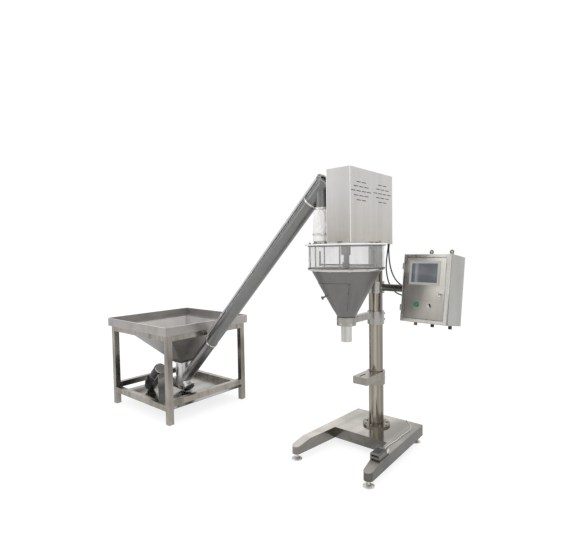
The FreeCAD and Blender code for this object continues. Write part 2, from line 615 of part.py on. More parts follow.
VENT_ROWS = (2, 3, 4, 3, 2)
node("motor_case", cut(
    block("-case_half", "case_half", "case_front_y", "case_rear_y", PLATE_TOP, CASE_TOP),
    block("-case_half + thin_wall", "case_half - thin_wall", "case_front_y + thin_wall",
          "case_rear_y - thin_wall", f"{PLATE_TOP} - 1", f"{CASE_TOP} - thin_wall"),
    *vent_group("vent_front_y", f"({CASE_TOP} - vent_front_drop)"),
    *vent_group("vent_rear_y", f"({CASE_TOP} - vent_rear_drop)"),
))


def stand(y, low):
    """Four posts on the motor plate that carry a motor's square flange."""
    return [rod(f"{sx}*post_spread", f"{y} + {sy}*post_spread", PLATE_TOP, "post_radius",
                f"{low} - {PLATE_TOP} + 1") for sx in (-1, 1) for sy in (-1, 1)]


def stand_plate(y, low):
    return block("-post_spread - post_radius", "post_spread + post_radius",
                 f"{y} - post_spread - post_radius", f"{y} + post_spread + post_radius",
                 low, f"{low} + servo_flange")


node("servo_motor", cut(
    fuse(*stand("0", SERVO_BASE), stand_plate("0", SERVO_BASE),
         block("-servo_half", "servo_half", "-servo_half", "servo_half", f"{SERVO_BASE} + 1",
               f"{SERVO_BASE} + servo_height")),
    rod("0", "0", f"{SERVO_BASE} - 1", "shaft_radius + slide_gap", "servo_height/2"),
))
node("agitator_motor", cut(
    fuse(*stand("motor_y", GEAR_BASE), stand_plate("motor_y", GEAR_BASE),
         rod("0", "motor_y", f"{GEAR_BASE} + 1", "gear_half", "gear_height")),
    rod("0", "motor_y", f"{GEAR_BASE} - 1", "motor_shaft_radius + slide_gap", "gear_height/2"),
))


def belt_outline(grow):
    """The belt's loop: two circles and the two straight runs between them."""
    reach = S["motor_y"]
    big = S["pulley_radius"] + grow
    small = S["motor_pulley_radius"] + grow
    tilt = math.asin((big - small) / reach)
    arcs = []
    for radius, y, angles in ((big, 0.0, (math.pi - tilt, 1.5 * math.pi, math.tau + tilt)),
                              (small, reach, (tilt, math.pi / 2, math.pi - tilt))):
        arcs.append([FreeCAD.Vector(radius * math.cos(a), y + radius * math.sin(a), 0) for a in angles])
    edges = [Part.Arc(*arcs[0]).toShape(), Part.LineSegment(arcs[0][2], arcs[1][0]).toShape(),
             Part.Arc(*arcs[1]).toShape(), Part.LineSegment(arcs[1][2], arcs[0][0]).toShape()]
    return Part.Face(Part.Wire(edges))


belt = doc.addObject("Part::Feature", "Belt")
belt_low = S["head_bottom"] + S["motor_plate"] + S["pulley_rise"] + S["belt_inset"]
belt_width = S["pulley_height"] - 2 * S["belt_inset"]
belt_loop = belt_outline(S["slide_gap"] + S["belt_wall"]).cut(belt_outline(S["slide_gap"]))
belt.Shape = belt_loop.extrude(FreeCAD.Vector(0, 0, belt_width)).translated(FreeCAD.Vector(0, 0, belt_low))
node("drive_belt", belt)


def flight(inner, outer, pitch, thick, low, high, steps):
    """A screw flight of flat facets, with this many steps in each turn."""
    count = round(steps * (high - low) / pitch)
    corners = []
    for i in range(count + 1):
        angle = math.tau * i / steps
        z = low + (high - low - thick) * i / count
        for radius, rise in ((inner, 0), (outer, 0), (outer, thick), (inner, thick)):
            corners.append(FreeCAD.Vector(radius * math.cos(angle), radius * math.sin(angle), z + rise))
    faces = [Part.Face(Part.makePolygon([corners[k] for k in (0, 3, 2, 1, 0)]))]
    for i in range(count):
        for k in range(4):
            a, b = 4 * i + k, 4 * i + (k + 1) % 4
            c, d = b + 4, a + 4
            for triangle in ((a, b, c), (a, c, d)):
                faces.append(Part.Face(Part.makePolygon([corners[n] for n in (*triangle, triangle[0])])))
    end = 4 * count
    faces.append(Part.Face(Part.makePolygon([corners[end + k] for k in (0, 1, 2, 3, 0)])))
    solid = Part.Solid(Part.makeShell(faces))
    if solid.Volume < 0:
        solid.reverse()
    return solid


def screw(radius, shaft, pitch, low, high, steps):
    """A flight as a document object; its root is sunk into the shaft."""
    thread = doc.addObject("Part::Feature", "Flight")
    thread.Shape = flight(shaft * ROOT_SHARE, radius, pitch, S["flight_thick"], low, high, steps)
    return thread


ROOT_SHARE = 0.8
AUGER_STEPS = 16
FEED_STEPS = 10
COUPLING_LOW = f"({SERVO_BASE} - coupling_height - coupling_gap)"
node("auger_screw", fuse(
    rod("0", "0", "auger_bottom", "shaft_radius", f"{SERVO_BASE} + servo_flange - auger_bottom"),
    rod("0", "0", COUPLING_LOW, "coupling_radius", "coupling_height"),
    screw(S["auger_radius"], S["shaft_radius"], S["auger_pitch"], S["auger_bottom"] + S["auger_lead"],
          S["auger_top"], AUGER_STEPS),
))

arms = []
for side in (-1, 1):
    arms.append(rod("0" if side > 0 else "-arm_reach", "0", "arm_z", "arm_radius", "arm_reach", "X"))
    arms.append(block(f"{side}*arm_reach - arm_radius", f"{side}*arm_reach + arm_radius",
                      "-arm_radius/2", "arm_radius/2", "scraper_low", "scraper_high"))
hub = rod("0", "0", "arm_z - hub_height/2", "hub_radius", "hub_height")
hollow_shaft = rod("0", "0", "agitator_low", "hollow_radius", "agitator_high - agitator_low")
node("agitator", cut(fuse(hollow_shaft, hub, *arms),
                     rod("0", "0", "agitator_low - 1", HOLLOW_BORE, "agitator_high - agitator_low + 2")))
node("agitator_pulley", ring("0", "0", PULLEY_LOW, "hollow_radius", "pulley_radius", "pulley_height"))
node("motor_pulley", fuse(
    rod("0", "motor_y", PULLEY_LOW, "motor_pulley_radius", "pulley_height"),
    rod("0", "motor_y", PULLEY_LOW, "motor_shaft_radius", f"{GEAR_BASE} + servo_flange - {PULLEY_LOW}"),
))

# ---------------------------------------------------------------- cabinet
arm_band = ring("0", "column_y", "arm_z_low", f"{INNER} + slide_gap",
                f"{INNER} + slide_gap + arm_clamp_wall", "arm_clamp_height")
TO_FILLER = FILLER.inverse() * CABINET
arm_tube = moved(rod(f"{INNER} + arm_clamp_wall/2", "0", "0", "arm_tube_radius",
                     f"cabinet_left - {INNER} - arm_clamp_wall/2", "X"), TO_FILLER)
arm_bore = rod("0", "column_y", "arm_z_low - 1", f"{INNER} + slide_gap", "arm_clamp_height + 2")
node("cabinet_arm", cut(fuse(arm_band, arm_tube), arm_bore))
TRAY = "(cabinet_front + tray)"
HINGE_X = "(cabinet_left - hinge_out)"
HINGE_Y = "(cabinet_front + hinge_back)"
SHELL_FRONT = f"({TRAY} + leaf_gap)"


def hinge_levels():
    return ["(hinge_z - knuckle/2)", "(-hinge_z - knuckle/2)"]


def shell_knuckle(z):
    """Barrel on the shell below the middle of a hinge, with a lug to the wall."""
    lug = block(HINGE_X, "cabinet_left + thin_wall/2", HINGE_Y, f"{SHELL_FRONT} + 2*hinge_radius", z,
                f"{z} + knuckle")
    return cut(fuse(rod(HINGE_X, HINGE_Y, z, "hinge_radius", "knuckle"), lug),
               rod(HINGE_X, HINGE_Y, f"{z} - 1", "hinge_pin", "knuckle + 2"))


def leaf_knuckle(z):
    """Barrel on the door just above the shell's barrel."""
    low = f"({z} + knuckle + slide_gap)"
    lug = block(HINGE_X, "cabinet_left + 2*door_inset", f"{HINGE_Y} - hinge_radius", HINGE_Y, low,
                f"{low} + knuckle")
    return cut(fuse(rod(HINGE_X, HINGE_Y, low, "hinge_radius", "knuckle"), lug),
               rod(HINGE_X, HINGE_Y, f"{low} - 1", "hinge_pin + slide_gap", "knuckle + 2"))


shell_box = cut(
    block("cabinet_left", "cabinet_right", SHELL_FRONT, "cabinet_back", "cabinet_low", "cabinet_high"),
    block("cabinet_left + thin_wall", "cabinet_right - thin_wall", f"{SHELL_FRONT} - 1",
          "cabinet_back - thin_wall", "cabinet_low + thin_wall", "cabinet_high - thin_wall"),
)
EAR_CENTRE = "(cabinet_high + ear_height - ear_half)"
ears = [
    cut(fuse(block(f"{x} - ear_half", f"{x} + ear_half", "cabinet_back - sheet_wall", "cabinet_back",
                   "cabinet_high - 1", EAR_CENTRE),
             rod(x, "cabinet_back - sheet_wall", EAR_CENTRE, "ear_half", "sheet_wall", "Y")),
        rod(x, "cabinet_back - 2*sheet_wall", EAR_CENTRE, "ear_hole", "3*sheet_wall", "Y"))
    for x in ("(cabinet_left + ear_inset)", "(cabinet_right - ear_inset)")
]
GLAND_COUNT = 3
gland_spots = [f"(gland_first + gland_pitch*{i})" for i in range(GLAND_COUNT)]
gland_holes = [rod(x, "gland_y", "cabinet_low - 1", "gland_radius/2 + hole_gap", "thin_wall + 2")
               for x in gland_spots]
arm_seat = rod("cabinet_left - 1", "0", "0", "arm_tube_radius/2", "2*thin_wall", "X")
node("cabinet_shell", cut(fuse(shell_box, *ears, *[shell_knuckle(z) for z in hinge_levels()]),
                          arm_seat, *gland_holes), CABINET)
glands = [
    fuse(rod(x, "gland_y", "cabinet_low - gland_height", "gland_radius", "gland_height"),
         rod(x, "gland_y", "cabinet_low - 1", "gland_radius/2", "gland_height/2"))
    for x in gland_spots
]
node("cable_glands", group(*glands), CABINET)
node("door_hinge_pins", group(*[
    rod(HINGE_X, HINGE_Y, z, "hinge_pin", "2*knuckle + slide_gap") for z in hinge_levels()]), CABINET)

door_box = cut(
    block("cabinet_left + door_inset", "cabinet_right - door_inset", "cabinet_front", TRAY,
          "cabinet_low + door_inset", "cabinet_high - door_inset"),
    block("cabinet_left + 2*door_inset", "cabinet_right - 2*door_inset", "cabinet_front + thin_wall",
          f"{TRAY} + 1", "cabinet_low + 2*door_inset", "cabinet_high - 2*door_inset"),
)
FACE = "cabinet_front"
seats = [
    rod(x, "cabinet_front - 1", z, f"{r} + slide_gap", "thin_wall + 2", "Y")
    for x, z, r in (("button_x", "button_z", "button_radius"),
                    ("selector_x", "button_z", "selector_radius"), ("lock_x", "lock_z", "lock_radius"))
]
node("cabinet_door", cut(fuse(door_box, *[leaf_knuckle(z) for z in hinge_levels()]), *seats), CABINET)
node("hmi_panel", cut(
    block("panel_left", "panel_right", "cabinet_front - panel_rise", FACE, "panel_low", "panel_high"),
    block("panel_left + screen_margin", "panel_right - screen_margin", "cabinet_front - panel_rise - 1",
          "cabinet_front - panel_rise + screen_drop", "panel_low + screen_margin",
          "panel_high - screen_margin"),
), CABINET)


def collar(x, radius):
    """The raised ring of a panel control, flat on the door."""
    return ring(x, "cabinet_front - collar_rise", "button_z", f"{radius} + slide_gap", "collar_radius",
                "collar_rise", "Y")


node("control_collars", group(collar("button_x", "button_radius"),
                              collar("selector_x", "selector_radius")), CABINET)
node("start_button", rod("button_x", "cabinet_front - button_rise", "button_z", "button_radius",
                         "button_rise + thin_wall", "Y"), CABINET)
node("selector_switch", fuse(
    rod("selector_x", "cabinet_front - collar_rise - 1", "button_z", "selector_radius",
        "collar_rise + 1 + thin_wall", "Y"),
    block("selector_x - key_radius", "selector_x + key_radius", "cabinet_front - selector_rise",
          "cabinet_front - collar_rise", "button_z - selector_radius", "button_z + selector_radius"),
), CABINET)
node("door_lock", fuse(
    rod("lock_x", "cabinet_front - lock_rise", "lock_z", "lock_radius", "lock_rise + thin_wall", "Y"),
    rod("lock_x", "cabinet_front + thin_wall", "lock_z", "lock_radius/2", "tray", "Y"),
    block("lock_x - key_radius/4", "lock_x + key_radius/4", "cabinet_front - 4*lock_rise",
          "cabinet_front - lock_rise + 1", "lock_z - key_radius", "lock_z + key_radius"),
), CABINET)

# ---------------------------------------------------------------- pedal
CHEEKS = ("pedal_left", "(pedal_right - cheek)")
pedal_block = fuse(
    block("pedal_left", "pedal_right", "pedal_front_y", "pedal_rear_y", "base_top - tip_drop/2",
          "pedal_floor"),
    *[block(x, f"{x} + cheek", "pedal_front_y", "pedal_rear_y", "pedal_floor - 1", "cheek_top")
      for x in CHEEKS],
    *[rod(x, "pedal_pivot_y", "pedal_pivot_z", "cheek_round", "cheek", "X") for x in CHEEKS],
)
pin_hole = rod("pedal_left - 1", "pedal_pivot_y", "pedal_pivot_z", "pedal_pin + slide_gap",
               "pedal_right - pedal_left + 2", "X")
node("pedal_base", cut(pedal_block, base_body("0", "0", SKIRT), pin_hole))
TREAD = (
    FreeCAD.Placement(FreeCAD.Vector(0, S["pedal_pivot_y"], S["pedal_pivot_z"]),
                      FreeCAD.Rotation(X_AXIS, -S["tread_rise"]))
)
tread = moved(fuse(
    block("pedal_left + cheek + 1", "pedal_right - cheek - 1", "pedal_front_y - pedal_pivot_y",
          "pedal_pin", "-tread/2", "tread/2"),
    rod("pedal_left + cheek + 1", "0", "0", "pedal_pin + 2", "pedal_right - pedal_left - 2*cheek - 2", "X"),
    rod("pedal_left", "0", "0", "pedal_pin", "pedal_right - pedal_left + cap_thick", "X"),
    rod("pedal_right + slide_gap", "0", "0", "cap_radius", "cap_thick", "X"),
), TREAD)
node("pedal_treadle", tread)


# ---------------------------------------------------------------- cords
def cord(points, radius, name):
    """A round cord: straight runs joined by tangent arcs."""
    spots = [FreeCAD.Vector(*p) for p in points]
    edges = []
    bends = []
    last = spots[0]
    for before, corner, after in zip(spots, spots[1:], spots[2:]):
        a = (before - corner)
        b = (after - corner)
        shorter = min(a.Length, b.Length)
        half = (math.pi - a.getAngle(b)) / 2
        bend = 0.45 * shorter / math.tan(half)
        reach = 0.45 * shorter
        a.normalize()
        b.normalize()
        enter = corner + a * reach
        leave = corner + b * reach
        centre_way = (a + b).normalize()
        middle = corner + centre_way * (bend / math.cos(half) - bend)
        edges.append(Part.LineSegment(last, enter).toShape())
        edges.append(Part.Arc(enter, middle, leave).toShape())
        bends.append(bend)
        last = leave
    edges.append(Part.LineSegment(last, spots[-1]).toShape())
    wire = Part.Wire(edges)
    circle = Part.makeCircle(radius, spots[0], spots[1] - spots[0])
    pipe = wire.makePipeShell([Part.Wire(circle)], True, True)
    ratio = pipe.Volume / (math.pi * radius ** 2 * wire.Length)
    print(f"{name}: bend radii {min(bends):.1f} to {max(bends):.1f}, volume over length {ratio:.4f}")
    piece = doc.addObject("Part::Feature", "Cord")
    piece.Shape = pipe
    return piece


POWER_CABLE = [
    (76, 490, 1545), (66, 487, 1471), (60, 482, 1405), (64, 473, 1345), (79, 464, 1283),
    (101, 455, 1233), (135, 447, 1192), (185, 441, 1163), (246, 438, 1152),
]
SIGNAL_CABLE = [
    (88, 470, 1545), (90, 466, 1480), (98, 460, 1415), (112, 454, 1357), (136, 448, 1303),
    (170, 443, 1259), (215, 440, 1228), (250, 439, 1222),
]
node("cable_power", cord(POWER_CABLE, S["cable_radius"], "cable_power"))
node("cable_signal", cord(SIGNAL_CABLE, S["cable_radius"], "cable_signal"))

ON_BASE = S["base_top"] + S["cord_radius"] + 0.5
ON_FLOOR = S["cord_radius"]
PEDAL_CORD = [
    (262, 28.6, ON_BASE), (260, 68, ON_BASE), (254, 116, ON_BASE), (255, 165, ON_BASE), (262, 218, ON_BASE),
    (262, 275, ON_BASE), (256, 335, ON_BASE), (258, 395, ON_BASE), (263, 450, ON_BASE),
    (252, 505, ON_BASE), (224, 553, ON_BASE), (186, 592, ON_BASE), (152, 630, ON_BASE + 2),
    (136, 655, 108), (128, 664, 62), (120, 676, 24), (100, 700, ON_FLOOR), (60, 718, ON_FLOOR),
]
node("pedal_cord", cord(PEDAL_CORD, S["cord_radius"], "pedal_cord"))
COIL_RADIUS = 27
COIL_POINTS = 14
COIL_TURNS = 5
COIL_STEP = 5.6
COIL_X = 49
COIL_Y = 693
coil = []
start = math.radians(66)
for i in range(COIL_POINTS * COIL_TURNS + 1):
    angle = start + math.tau * i / COIL_POINTS
    coil.append((COIL_X + COIL_RADIUS * math.cos(angle), COIL_Y + COIL_RADIUS * math.sin(angle),
                 ON_FLOOR + COIL_STEP * i / COIL_POINTS))
coil += [(40, 727, 27), (18, 733, 19), (S["plug_x"] + S["plug_length"], S["plug_y"], S["plug_radius"])]
node("pedal_cord_coil", cord(coil, S["cord_radius"], "pedal_cord_coil"))
node("pedal_plug", fuse(
    rod("plug_x", "plug_y", "plug_radius", "plug_radius", "plug_length", "X"),
    *[rod("plug_x - prong_length", f"plug_y + {side}*plug_radius/2", "plug_radius", "prong_radius",
          "prong_length + 1", "X") for side in (-1, 1)],
))

# ---------------------------------------------------------------- feeder
LEFT = "(feeder_x - feeder_half_x)"
RIGHT = "(feeder_x + feeder_half_x)"
RIM_LOW = "(rim_top - rim_height)"


def frustum(grow, low_grow):
    """Solid inside of the sloping pan, wider by the two amounts."""
    wedge = doc.addObject("Part::Wedge", "Pan")
    bind(wedge, Ymin="0", Ymax=f"{RIM_LOW} - pyramid_low",
         Xmin=f"outlet_x - outlet_half - {low_grow}", Xmax=f"outlet_x + outlet_half + {low_grow}",
         Zmin=f"-outlet_half - {low_grow}", Zmax=f"outlet_half + {low_grow}",
         X2min=f"{LEFT} + pan_inset - {grow}", X2max=f"{RIGHT} - pan_inset + {grow}",
         Z2min=f"-feeder_half_y + pan_inset - {grow}", Z2max=f"feeder_half_y - pan_inset + {grow}")
    return place(wedge, "0", "0", "pyramid_low", FreeCAD.Rotation(X_AXIS, 90))


rim = cut(
    block(LEFT, RIGHT, "-feeder_half_y", "feeder_half_y", RIM_LOW, "rim_top"),
    block(f"{LEFT} + sheet_wall", f"{RIGHT} - sheet_wall", "-feeder_half_y + sheet_wall",
          "feeder_half_y - sheet_wall", f"{RIM_LOW} + sheet_wall", "rim_top + 1"),
    block(f"{LEFT} + pan_inset", f"{RIGHT} - pan_inset", "-feeder_half_y + pan_inset",
          "feeder_half_y - pan_inset", f"{RIM_LOW} - 1", "rim_top + 1"),
)
pan_flange = block("outlet_x - outlet_flange", "outlet_x + outlet_flange", "-outlet_flange",
                   "outlet_flange", "outlet_top", "outlet_top + outlet_flange_thick")
node("feeder_hopper", cut(
    fuse(frustum("sheet_wall", "sheet_wall"), pan_flange, rim),
    frustum("0", "0"),
    rod("outlet_x", "0", "outlet_top - 1", "outlet_radius - outlet_wall", "2*outlet_flange_thick"),
))

legs = []
rails = []
for side in (-1, 1):
    x_out = LEFT if side < 0 else RIGHT
    leg_a = f"({x_out} - {side}*leg_inset)"
    leg_b = f"({leg_a} - {side}*leg_size)"
    x0, x1 = (leg_a, leg_b) if side < 0 else (leg_b, leg_a)
    for rear in (-1, 1):
        y_a = f"({rear}*(feeder_half_y - leg_inset))"
        y_b = f"({rear}*(feeder_half_y - leg_inset - leg_size))"
        y0, y1 = (y_a, y_b) if rear < 0 else (y_b, y_a)
        legs.append(block(x0, x1, y0, y1, "0", RIM_LOW))
        if side < 0:
            for top, high in (("rail_top", "rail_height"), ("side_rail_top", "low_rail")):
                rails.append(block(f"{LEFT} + leg_inset + 1", f"{RIGHT} - leg_inset - 1", f"{y0} + 1",
                                   f"{y1} - 1", f"{top} - {high}", top))
    for top, high in (("rail_top", "rail_height"), ("end_rail_top", "low_rail")):
        rails.append(block(f"{x0} + 1", f"{x1} - 1", "-(feeder_half_y - leg_inset - 1)",
                           "feeder_half_y - leg_inset - 1", f"{top} - {high}", top))
node("feeder_frame", fuse(*legs, *rails))

FLOOR_TOP = "(side_rail_top - floor_drop)"
FLOOR_LOW = f"({FLOOR_TOP} - floor_sheet)"
plate = block(f"{LEFT} + leg_inset + leg_size - 1", f"{RIGHT} - leg_inset - leg_size + 1",
              "-(feeder_half_y - leg_inset - leg_size/2)", "feeder_half_y - leg_inset - leg_size/2",
              FLOOR_LOW, FLOOR_TOP)
# the gear motor's mount: a folded sheet that slopes up under it and stands on its rear leg
mount = padded([
    ("mount_x - mount_run", FLOOR_TOP), ("mount_x - mount_run + 1.4*floor_sheet", FLOOR_TOP),
    ("mount_x - floor_sheet", "mount_top - 2.4*floor_sheet"), ("mount_x - floor_sheet", FLOOR_TOP),
    ("mount_x", FLOOR_TOP), ("mount_x", "mount_top"),
], "mount_front + mount_rear", "XZ_Plane", ("0", "gear_y + mount_rear", "0"))
node("floor_plate", fuse(cut(plate, NODES["feeder_frame"].Links[0]), mount))

# ---------------------------------------------------------------- conveyor
TUBE_BORE = "(conveyor_radius - conveyor_wall)"
TO_CONVEYOR = CONVEYOR.inverse() * FILLER
upright = moved(rod("outlet_x", "0", "boot_floor", "outlet_radius", "outlet_top - boot_floor"), TO_CONVEYOR)
upright_bore = moved(rod("outlet_x", "0", "boot_floor + outlet_wall", "outlet_radius - outlet_wall",
                         "outlet_top - boot_floor"), TO_CONVEYOR)
outlet_rim = moved(rod("outlet_x", "0", "outlet_top - outlet_flange_thick", "outlet_flange",
                       "outlet_flange_thick"), TO_CONVEYOR)
cradle_x = S["inlet_x"] + S["cradle_z"] * math.sin(math.radians(S["tilt"]))
cradle_high = S["axis_z"] + S["cradle_z"] * math.cos(math.radians(S["tilt"]))
cradle = moved(block(f"{cradle_x}", f"{cradle_x} + cradle_thick", "-cradle_half", "cradle_half", FLOOR_TOP,
                     f"{cradle_high}"), TO_CONVEYOR)
stub = rod("0", "0", "stub_z", "stub_radius", "stub_length", "X")
stub_bore = rod("0", "0", "stub_z", "stub_radius - conveyor_wall", "stub_length - conveyor_wall", "X")
tube_bore = rod("0", "0", "conveyor_foot - 1", TUBE_BORE, "head_joint - conveyor_foot + 2")
node("conveyor_tube", cut(
    fuse(rod("0", "0", "conveyor_foot", "conveyor_radius", "head_joint - conveyor_foot"),
         upright, outlet_rim, cradle, stub),
    tube_bore, upright_bore, stub_bore,
    block("-2*outlet_flange", "2*outlet_flange", "-outlet_flange", "outlet_flange",
          "conveyor_foot - 2*outlet_flange", "conveyor_foot"),
), CONVEYOR)
spout = moved(rod("inlet_x", "0", "spout_low", "spout_radius", "axis_z - spout_low"), TO_CONVEYOR)
spout_bore = moved(rod("inlet_x", "0", "spout_low - 1", "spout_radius - spout_wall",
                       "axis_z - spout_low"), TO_CONVEYOR)
node("conveyor_head", cut(
    fuse(rod("0", "0", "head_joint", "conveyor_radius", "head_end - head_joint"),
         rod("0", "0", "head_end - head_ring", "head_ring_radius", "head_ring"), spout),
    rod("0", "0", "head_joint - 1", TUBE_BORE, "head_end - head_joint + 2"), spout_bore,
), CONVEYOR)
head_cap = cut(
    rod("0", "0", "head_end - head_ring", TUBE_BORE, "head_ring - end_recess"),
    rod("0", "0", "head_end - head_ring - 1", "screw_shaft + slide_gap", "(head_ring - end_recess)/2 + 1"),
)
stub_cap = rod("stub_length", "0", "stub_z", "stub_radius", "stub_cap", "X")
node("end_caps", group(head_cap, stub_cap), CONVEYOR)
conduit_x = S["conduit_offset"] * math.cos(math.radians(S["conduit_angle"]))
conduit_y = S["conduit_offset"] * math.sin(math.radians(S["conduit_angle"]))
conduit = rod(f"{conduit_x}", f"{conduit_y}", "conduit_low", "conduit_radius", "conduit_high - conduit_low")
node("conduit", conduit, CONVEYOR)
joints = [
    ring("0", "0", low, "conveyor_radius", outer, width)
    for low, outer, width in (("mid_joint", "joint_radius", "joint_width"),
                              ("head_joint - joint_width", "joint_radius", "joint_width"),
                              ("conveyor_foot", "foot_ring_radius", "joint_width"))
]
CLIP_COUNT = 3
clips = [
    rod(f"{conduit_x}", f"{conduit_y}", f"conduit_low + clip_pitch*{i + 0.5}",
        "conduit_radius + sheet_wall", "2*clip_half") for i in range(CLIP_COUNT)
]
conduit_space = rod(f"{conduit_x}", f"{conduit_y}", "conduit_low - joint_radius", "conduit_radius",
                    "conduit_high - conduit_low + 2*joint_radius")
tube_space = rod("0", "0", "conveyor_foot", "conveyor_radius", "head_end - conveyor_foot")
stub_band = ring("conveyor_radius + 2*joint_width", "0", "stub_z", "stub_radius", "foot_ring_radius",
                 "joint_width", "X")
node("tube_clamps", group(
    *[cut(joint, conduit_space, upright) for joint in joints],
    cut(stub_band, upright), cut(group(*clips), tube_space, conduit_space)), CONVEYOR)
node("conveyor_screw", fuse(
    rod("0", "0", "conveyor_foot - link_thick/2", "screw_shaft",
        "head_end - head_ring + (head_ring - end_recess)/2 - slide_gap - conveyor_foot + link_thick/2"),
    screw(S["screw_radius"], S["screw_shaft"], S["screw_pitch"], S["screw_low"], S["screw_high"],
          FEED_STEPS),
), CONVEYOR)

# drive at the foot: a link case from the screw to the gear motor beside it
link_length = math.hypot(S["gear_x"], S["gear_y"])
link_turn = math.degrees(math.atan2(S["gear_y"], S["gear_x"]))
link_bar = moved(block("0", f"{link_length}", "-link_radius", "link_radius",
                       "conveyor_foot - link_thick", "conveyor_foot"),
                 FreeCAD.Placement(FreeCAD.Vector(), FreeCAD.Rotation(Z_AXIS, link_turn)))
node("drive_case", cut(
    fuse(rod("0", "0", "conveyor_foot - link_thick", "link_radius", "link_thick"),
         rod("gear_x", "gear_y", "conveyor_foot - link_thick", "link_gear_radius", "link_thick"), link_bar),
    rod("0", "0", "conveyor_foot - link_thick/2 - 1", "screw_shaft + slide_gap", "link_thick"),
), CONVEYOR)
node("gear_motor", fuse(
    rod("gear_x", "gear_y", "conveyor_foot", "gear_case_radius", "gear_high - conveyor_foot"),
    rod("gear_x", "gear_y", "gear_high", "disc_radius", "disc_thick"),
    rod("gear_x", "gear_y", "motor_low", "motor_radius", "conveyor_foot - link_thick - motor_low"),
), CONVEYOR)

# ---------------------------------------------------------------- check and write
doc.recompute()
for obj in doc.Objects:
    if "Invalid" in obj.State or "Error" in obj.State:
        raise RuntimeError(f"{obj.Name} did not build: {obj.State}")
for label, part in NODES.items():
    if part.Shape.isNull() or not part.Shape.isValid():
        raise RuntimeError(f"{label} is not a sound shape")
for label, part in NODES.items():
    part.Shape.exportStep(f"parts/{label}.step")
print(f"{len(NODES)} sub-parts written")
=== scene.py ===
import math

import bmesh
import bpy
from mathutils import Matrix, Vector


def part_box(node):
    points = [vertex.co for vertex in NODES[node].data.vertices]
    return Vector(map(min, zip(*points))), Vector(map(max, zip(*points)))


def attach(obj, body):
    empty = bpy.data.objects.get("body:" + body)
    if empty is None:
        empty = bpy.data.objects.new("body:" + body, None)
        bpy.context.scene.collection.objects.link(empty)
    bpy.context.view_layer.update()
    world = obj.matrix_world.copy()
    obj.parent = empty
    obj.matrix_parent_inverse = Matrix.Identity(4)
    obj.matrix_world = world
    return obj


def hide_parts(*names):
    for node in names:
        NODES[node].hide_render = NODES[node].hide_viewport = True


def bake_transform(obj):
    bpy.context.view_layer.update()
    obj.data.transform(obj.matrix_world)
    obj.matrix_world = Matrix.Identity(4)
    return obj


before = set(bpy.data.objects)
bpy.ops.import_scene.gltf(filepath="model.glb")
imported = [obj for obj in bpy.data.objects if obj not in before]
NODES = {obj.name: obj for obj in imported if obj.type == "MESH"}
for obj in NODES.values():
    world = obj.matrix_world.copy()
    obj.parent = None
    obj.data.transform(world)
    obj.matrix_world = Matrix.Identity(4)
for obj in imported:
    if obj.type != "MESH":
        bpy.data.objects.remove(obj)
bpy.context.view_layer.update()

# The discharge axis stands here in the row frame; every piece is placed from it.
AXIS_X = sum(corner[0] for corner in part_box("discharge_tube")) / 2
AXIS_Y = sum(corner[1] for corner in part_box("discharge_tube")) / 2


def at(x, y, z):
    """A point in millimetres from the discharge axis and the floor."""
    return Vector((AXIS_X + x / 1000, AXIS_Y + y / 1000, z / 1000))


# ------------------------------------------------------------------ materials
# Which way a grain runs: the axis with the small share.
EVEN = (1, 1, 1)
UP = (1, 1, 0.02)
ALONG_Y = (1, 0.02, 1)
# Noise scales per metre, and the depth of fine grain in metres.
BRUSH_SCALE = 420.0
CLOUD_SCALE = 4.0
FINE_SCALE = 900.0
GRAIN_DEPTH = 0.0003
THREAD_DEPTH = 0.0004


def srgb(level):
    """Linear share of an sRGB level from 0 to 255."""
    share = level / 255
    return share / 12.92 if share <= 0.04045 else ((share + 0.055) / 1.055) ** 2.4


def colour(red, green, blue):
    return (srgb(red), srgb(green), srgb(blue), 1.0)


def scaled(tone, share):
    return tuple(min(1.0, c * share) for c in tone[:3]) + (1.0,)


def grey(level):
    return (level, level, level, 1.0)


def new_material(name):
    material = bpy.data.materials.new(name)
    material.use_nodes = True
    tree = material.node_tree
    return material, tree, tree.nodes["Principled BSDF"]


def link(tree, source, out, target, into):
    tree.links.new(source.outputs[out], target.inputs[into])


def noise(tree, scale, stretch, detail=4.0, distortion=0.0):
    """A noise in row coordinates, drawn out along the axis with a small share."""
    coordinates = tree.nodes.new("ShaderNodeTexCoord")
    mapping = tree.nodes.new("ShaderNodeMapping")
    mapping.inputs["Scale"].default_value = stretch
    texture = tree.nodes.new("ShaderNodeTexNoise")
    texture.inputs["Scale"].default_value = scale
    texture.inputs["Detail"].default_value = detail
    texture.inputs["Distortion"].default_value = distortion
    link(tree, coordinates, "Object", mapping, "Vector")
    link(tree, mapping, "Vector", texture, "Vector")
    return texture


def ramp(tree, source, out, stops):
    node = tree.nodes.new("ShaderNodeValToRGB")
    elements = node.color_ramp.elements
    while len(elements) < len(stops):
        elements.new(0.5)
    for element, (place, value) in zip(elements, stops):
        element.position = place
        element.color = value
    link(tree, source, out, node, "Fac")
    return node


def multiply(tree, first, second):
    """The product of two colour outputs, as an output."""
    mix = tree.nodes.new("ShaderNodeMix")
    mix.data_type = "RGBA"
    mix.blend_type = "MULTIPLY"
    mix.inputs["Factor"].default_value = 1.0
    ports = [socket for socket in mix.inputs if socket.type == "RGBA"]
    tree.links.new(first, ports[0])
    tree.links.new(second, ports[1])
    return next(socket for socket in mix.outputs if socket.type == "RGBA")


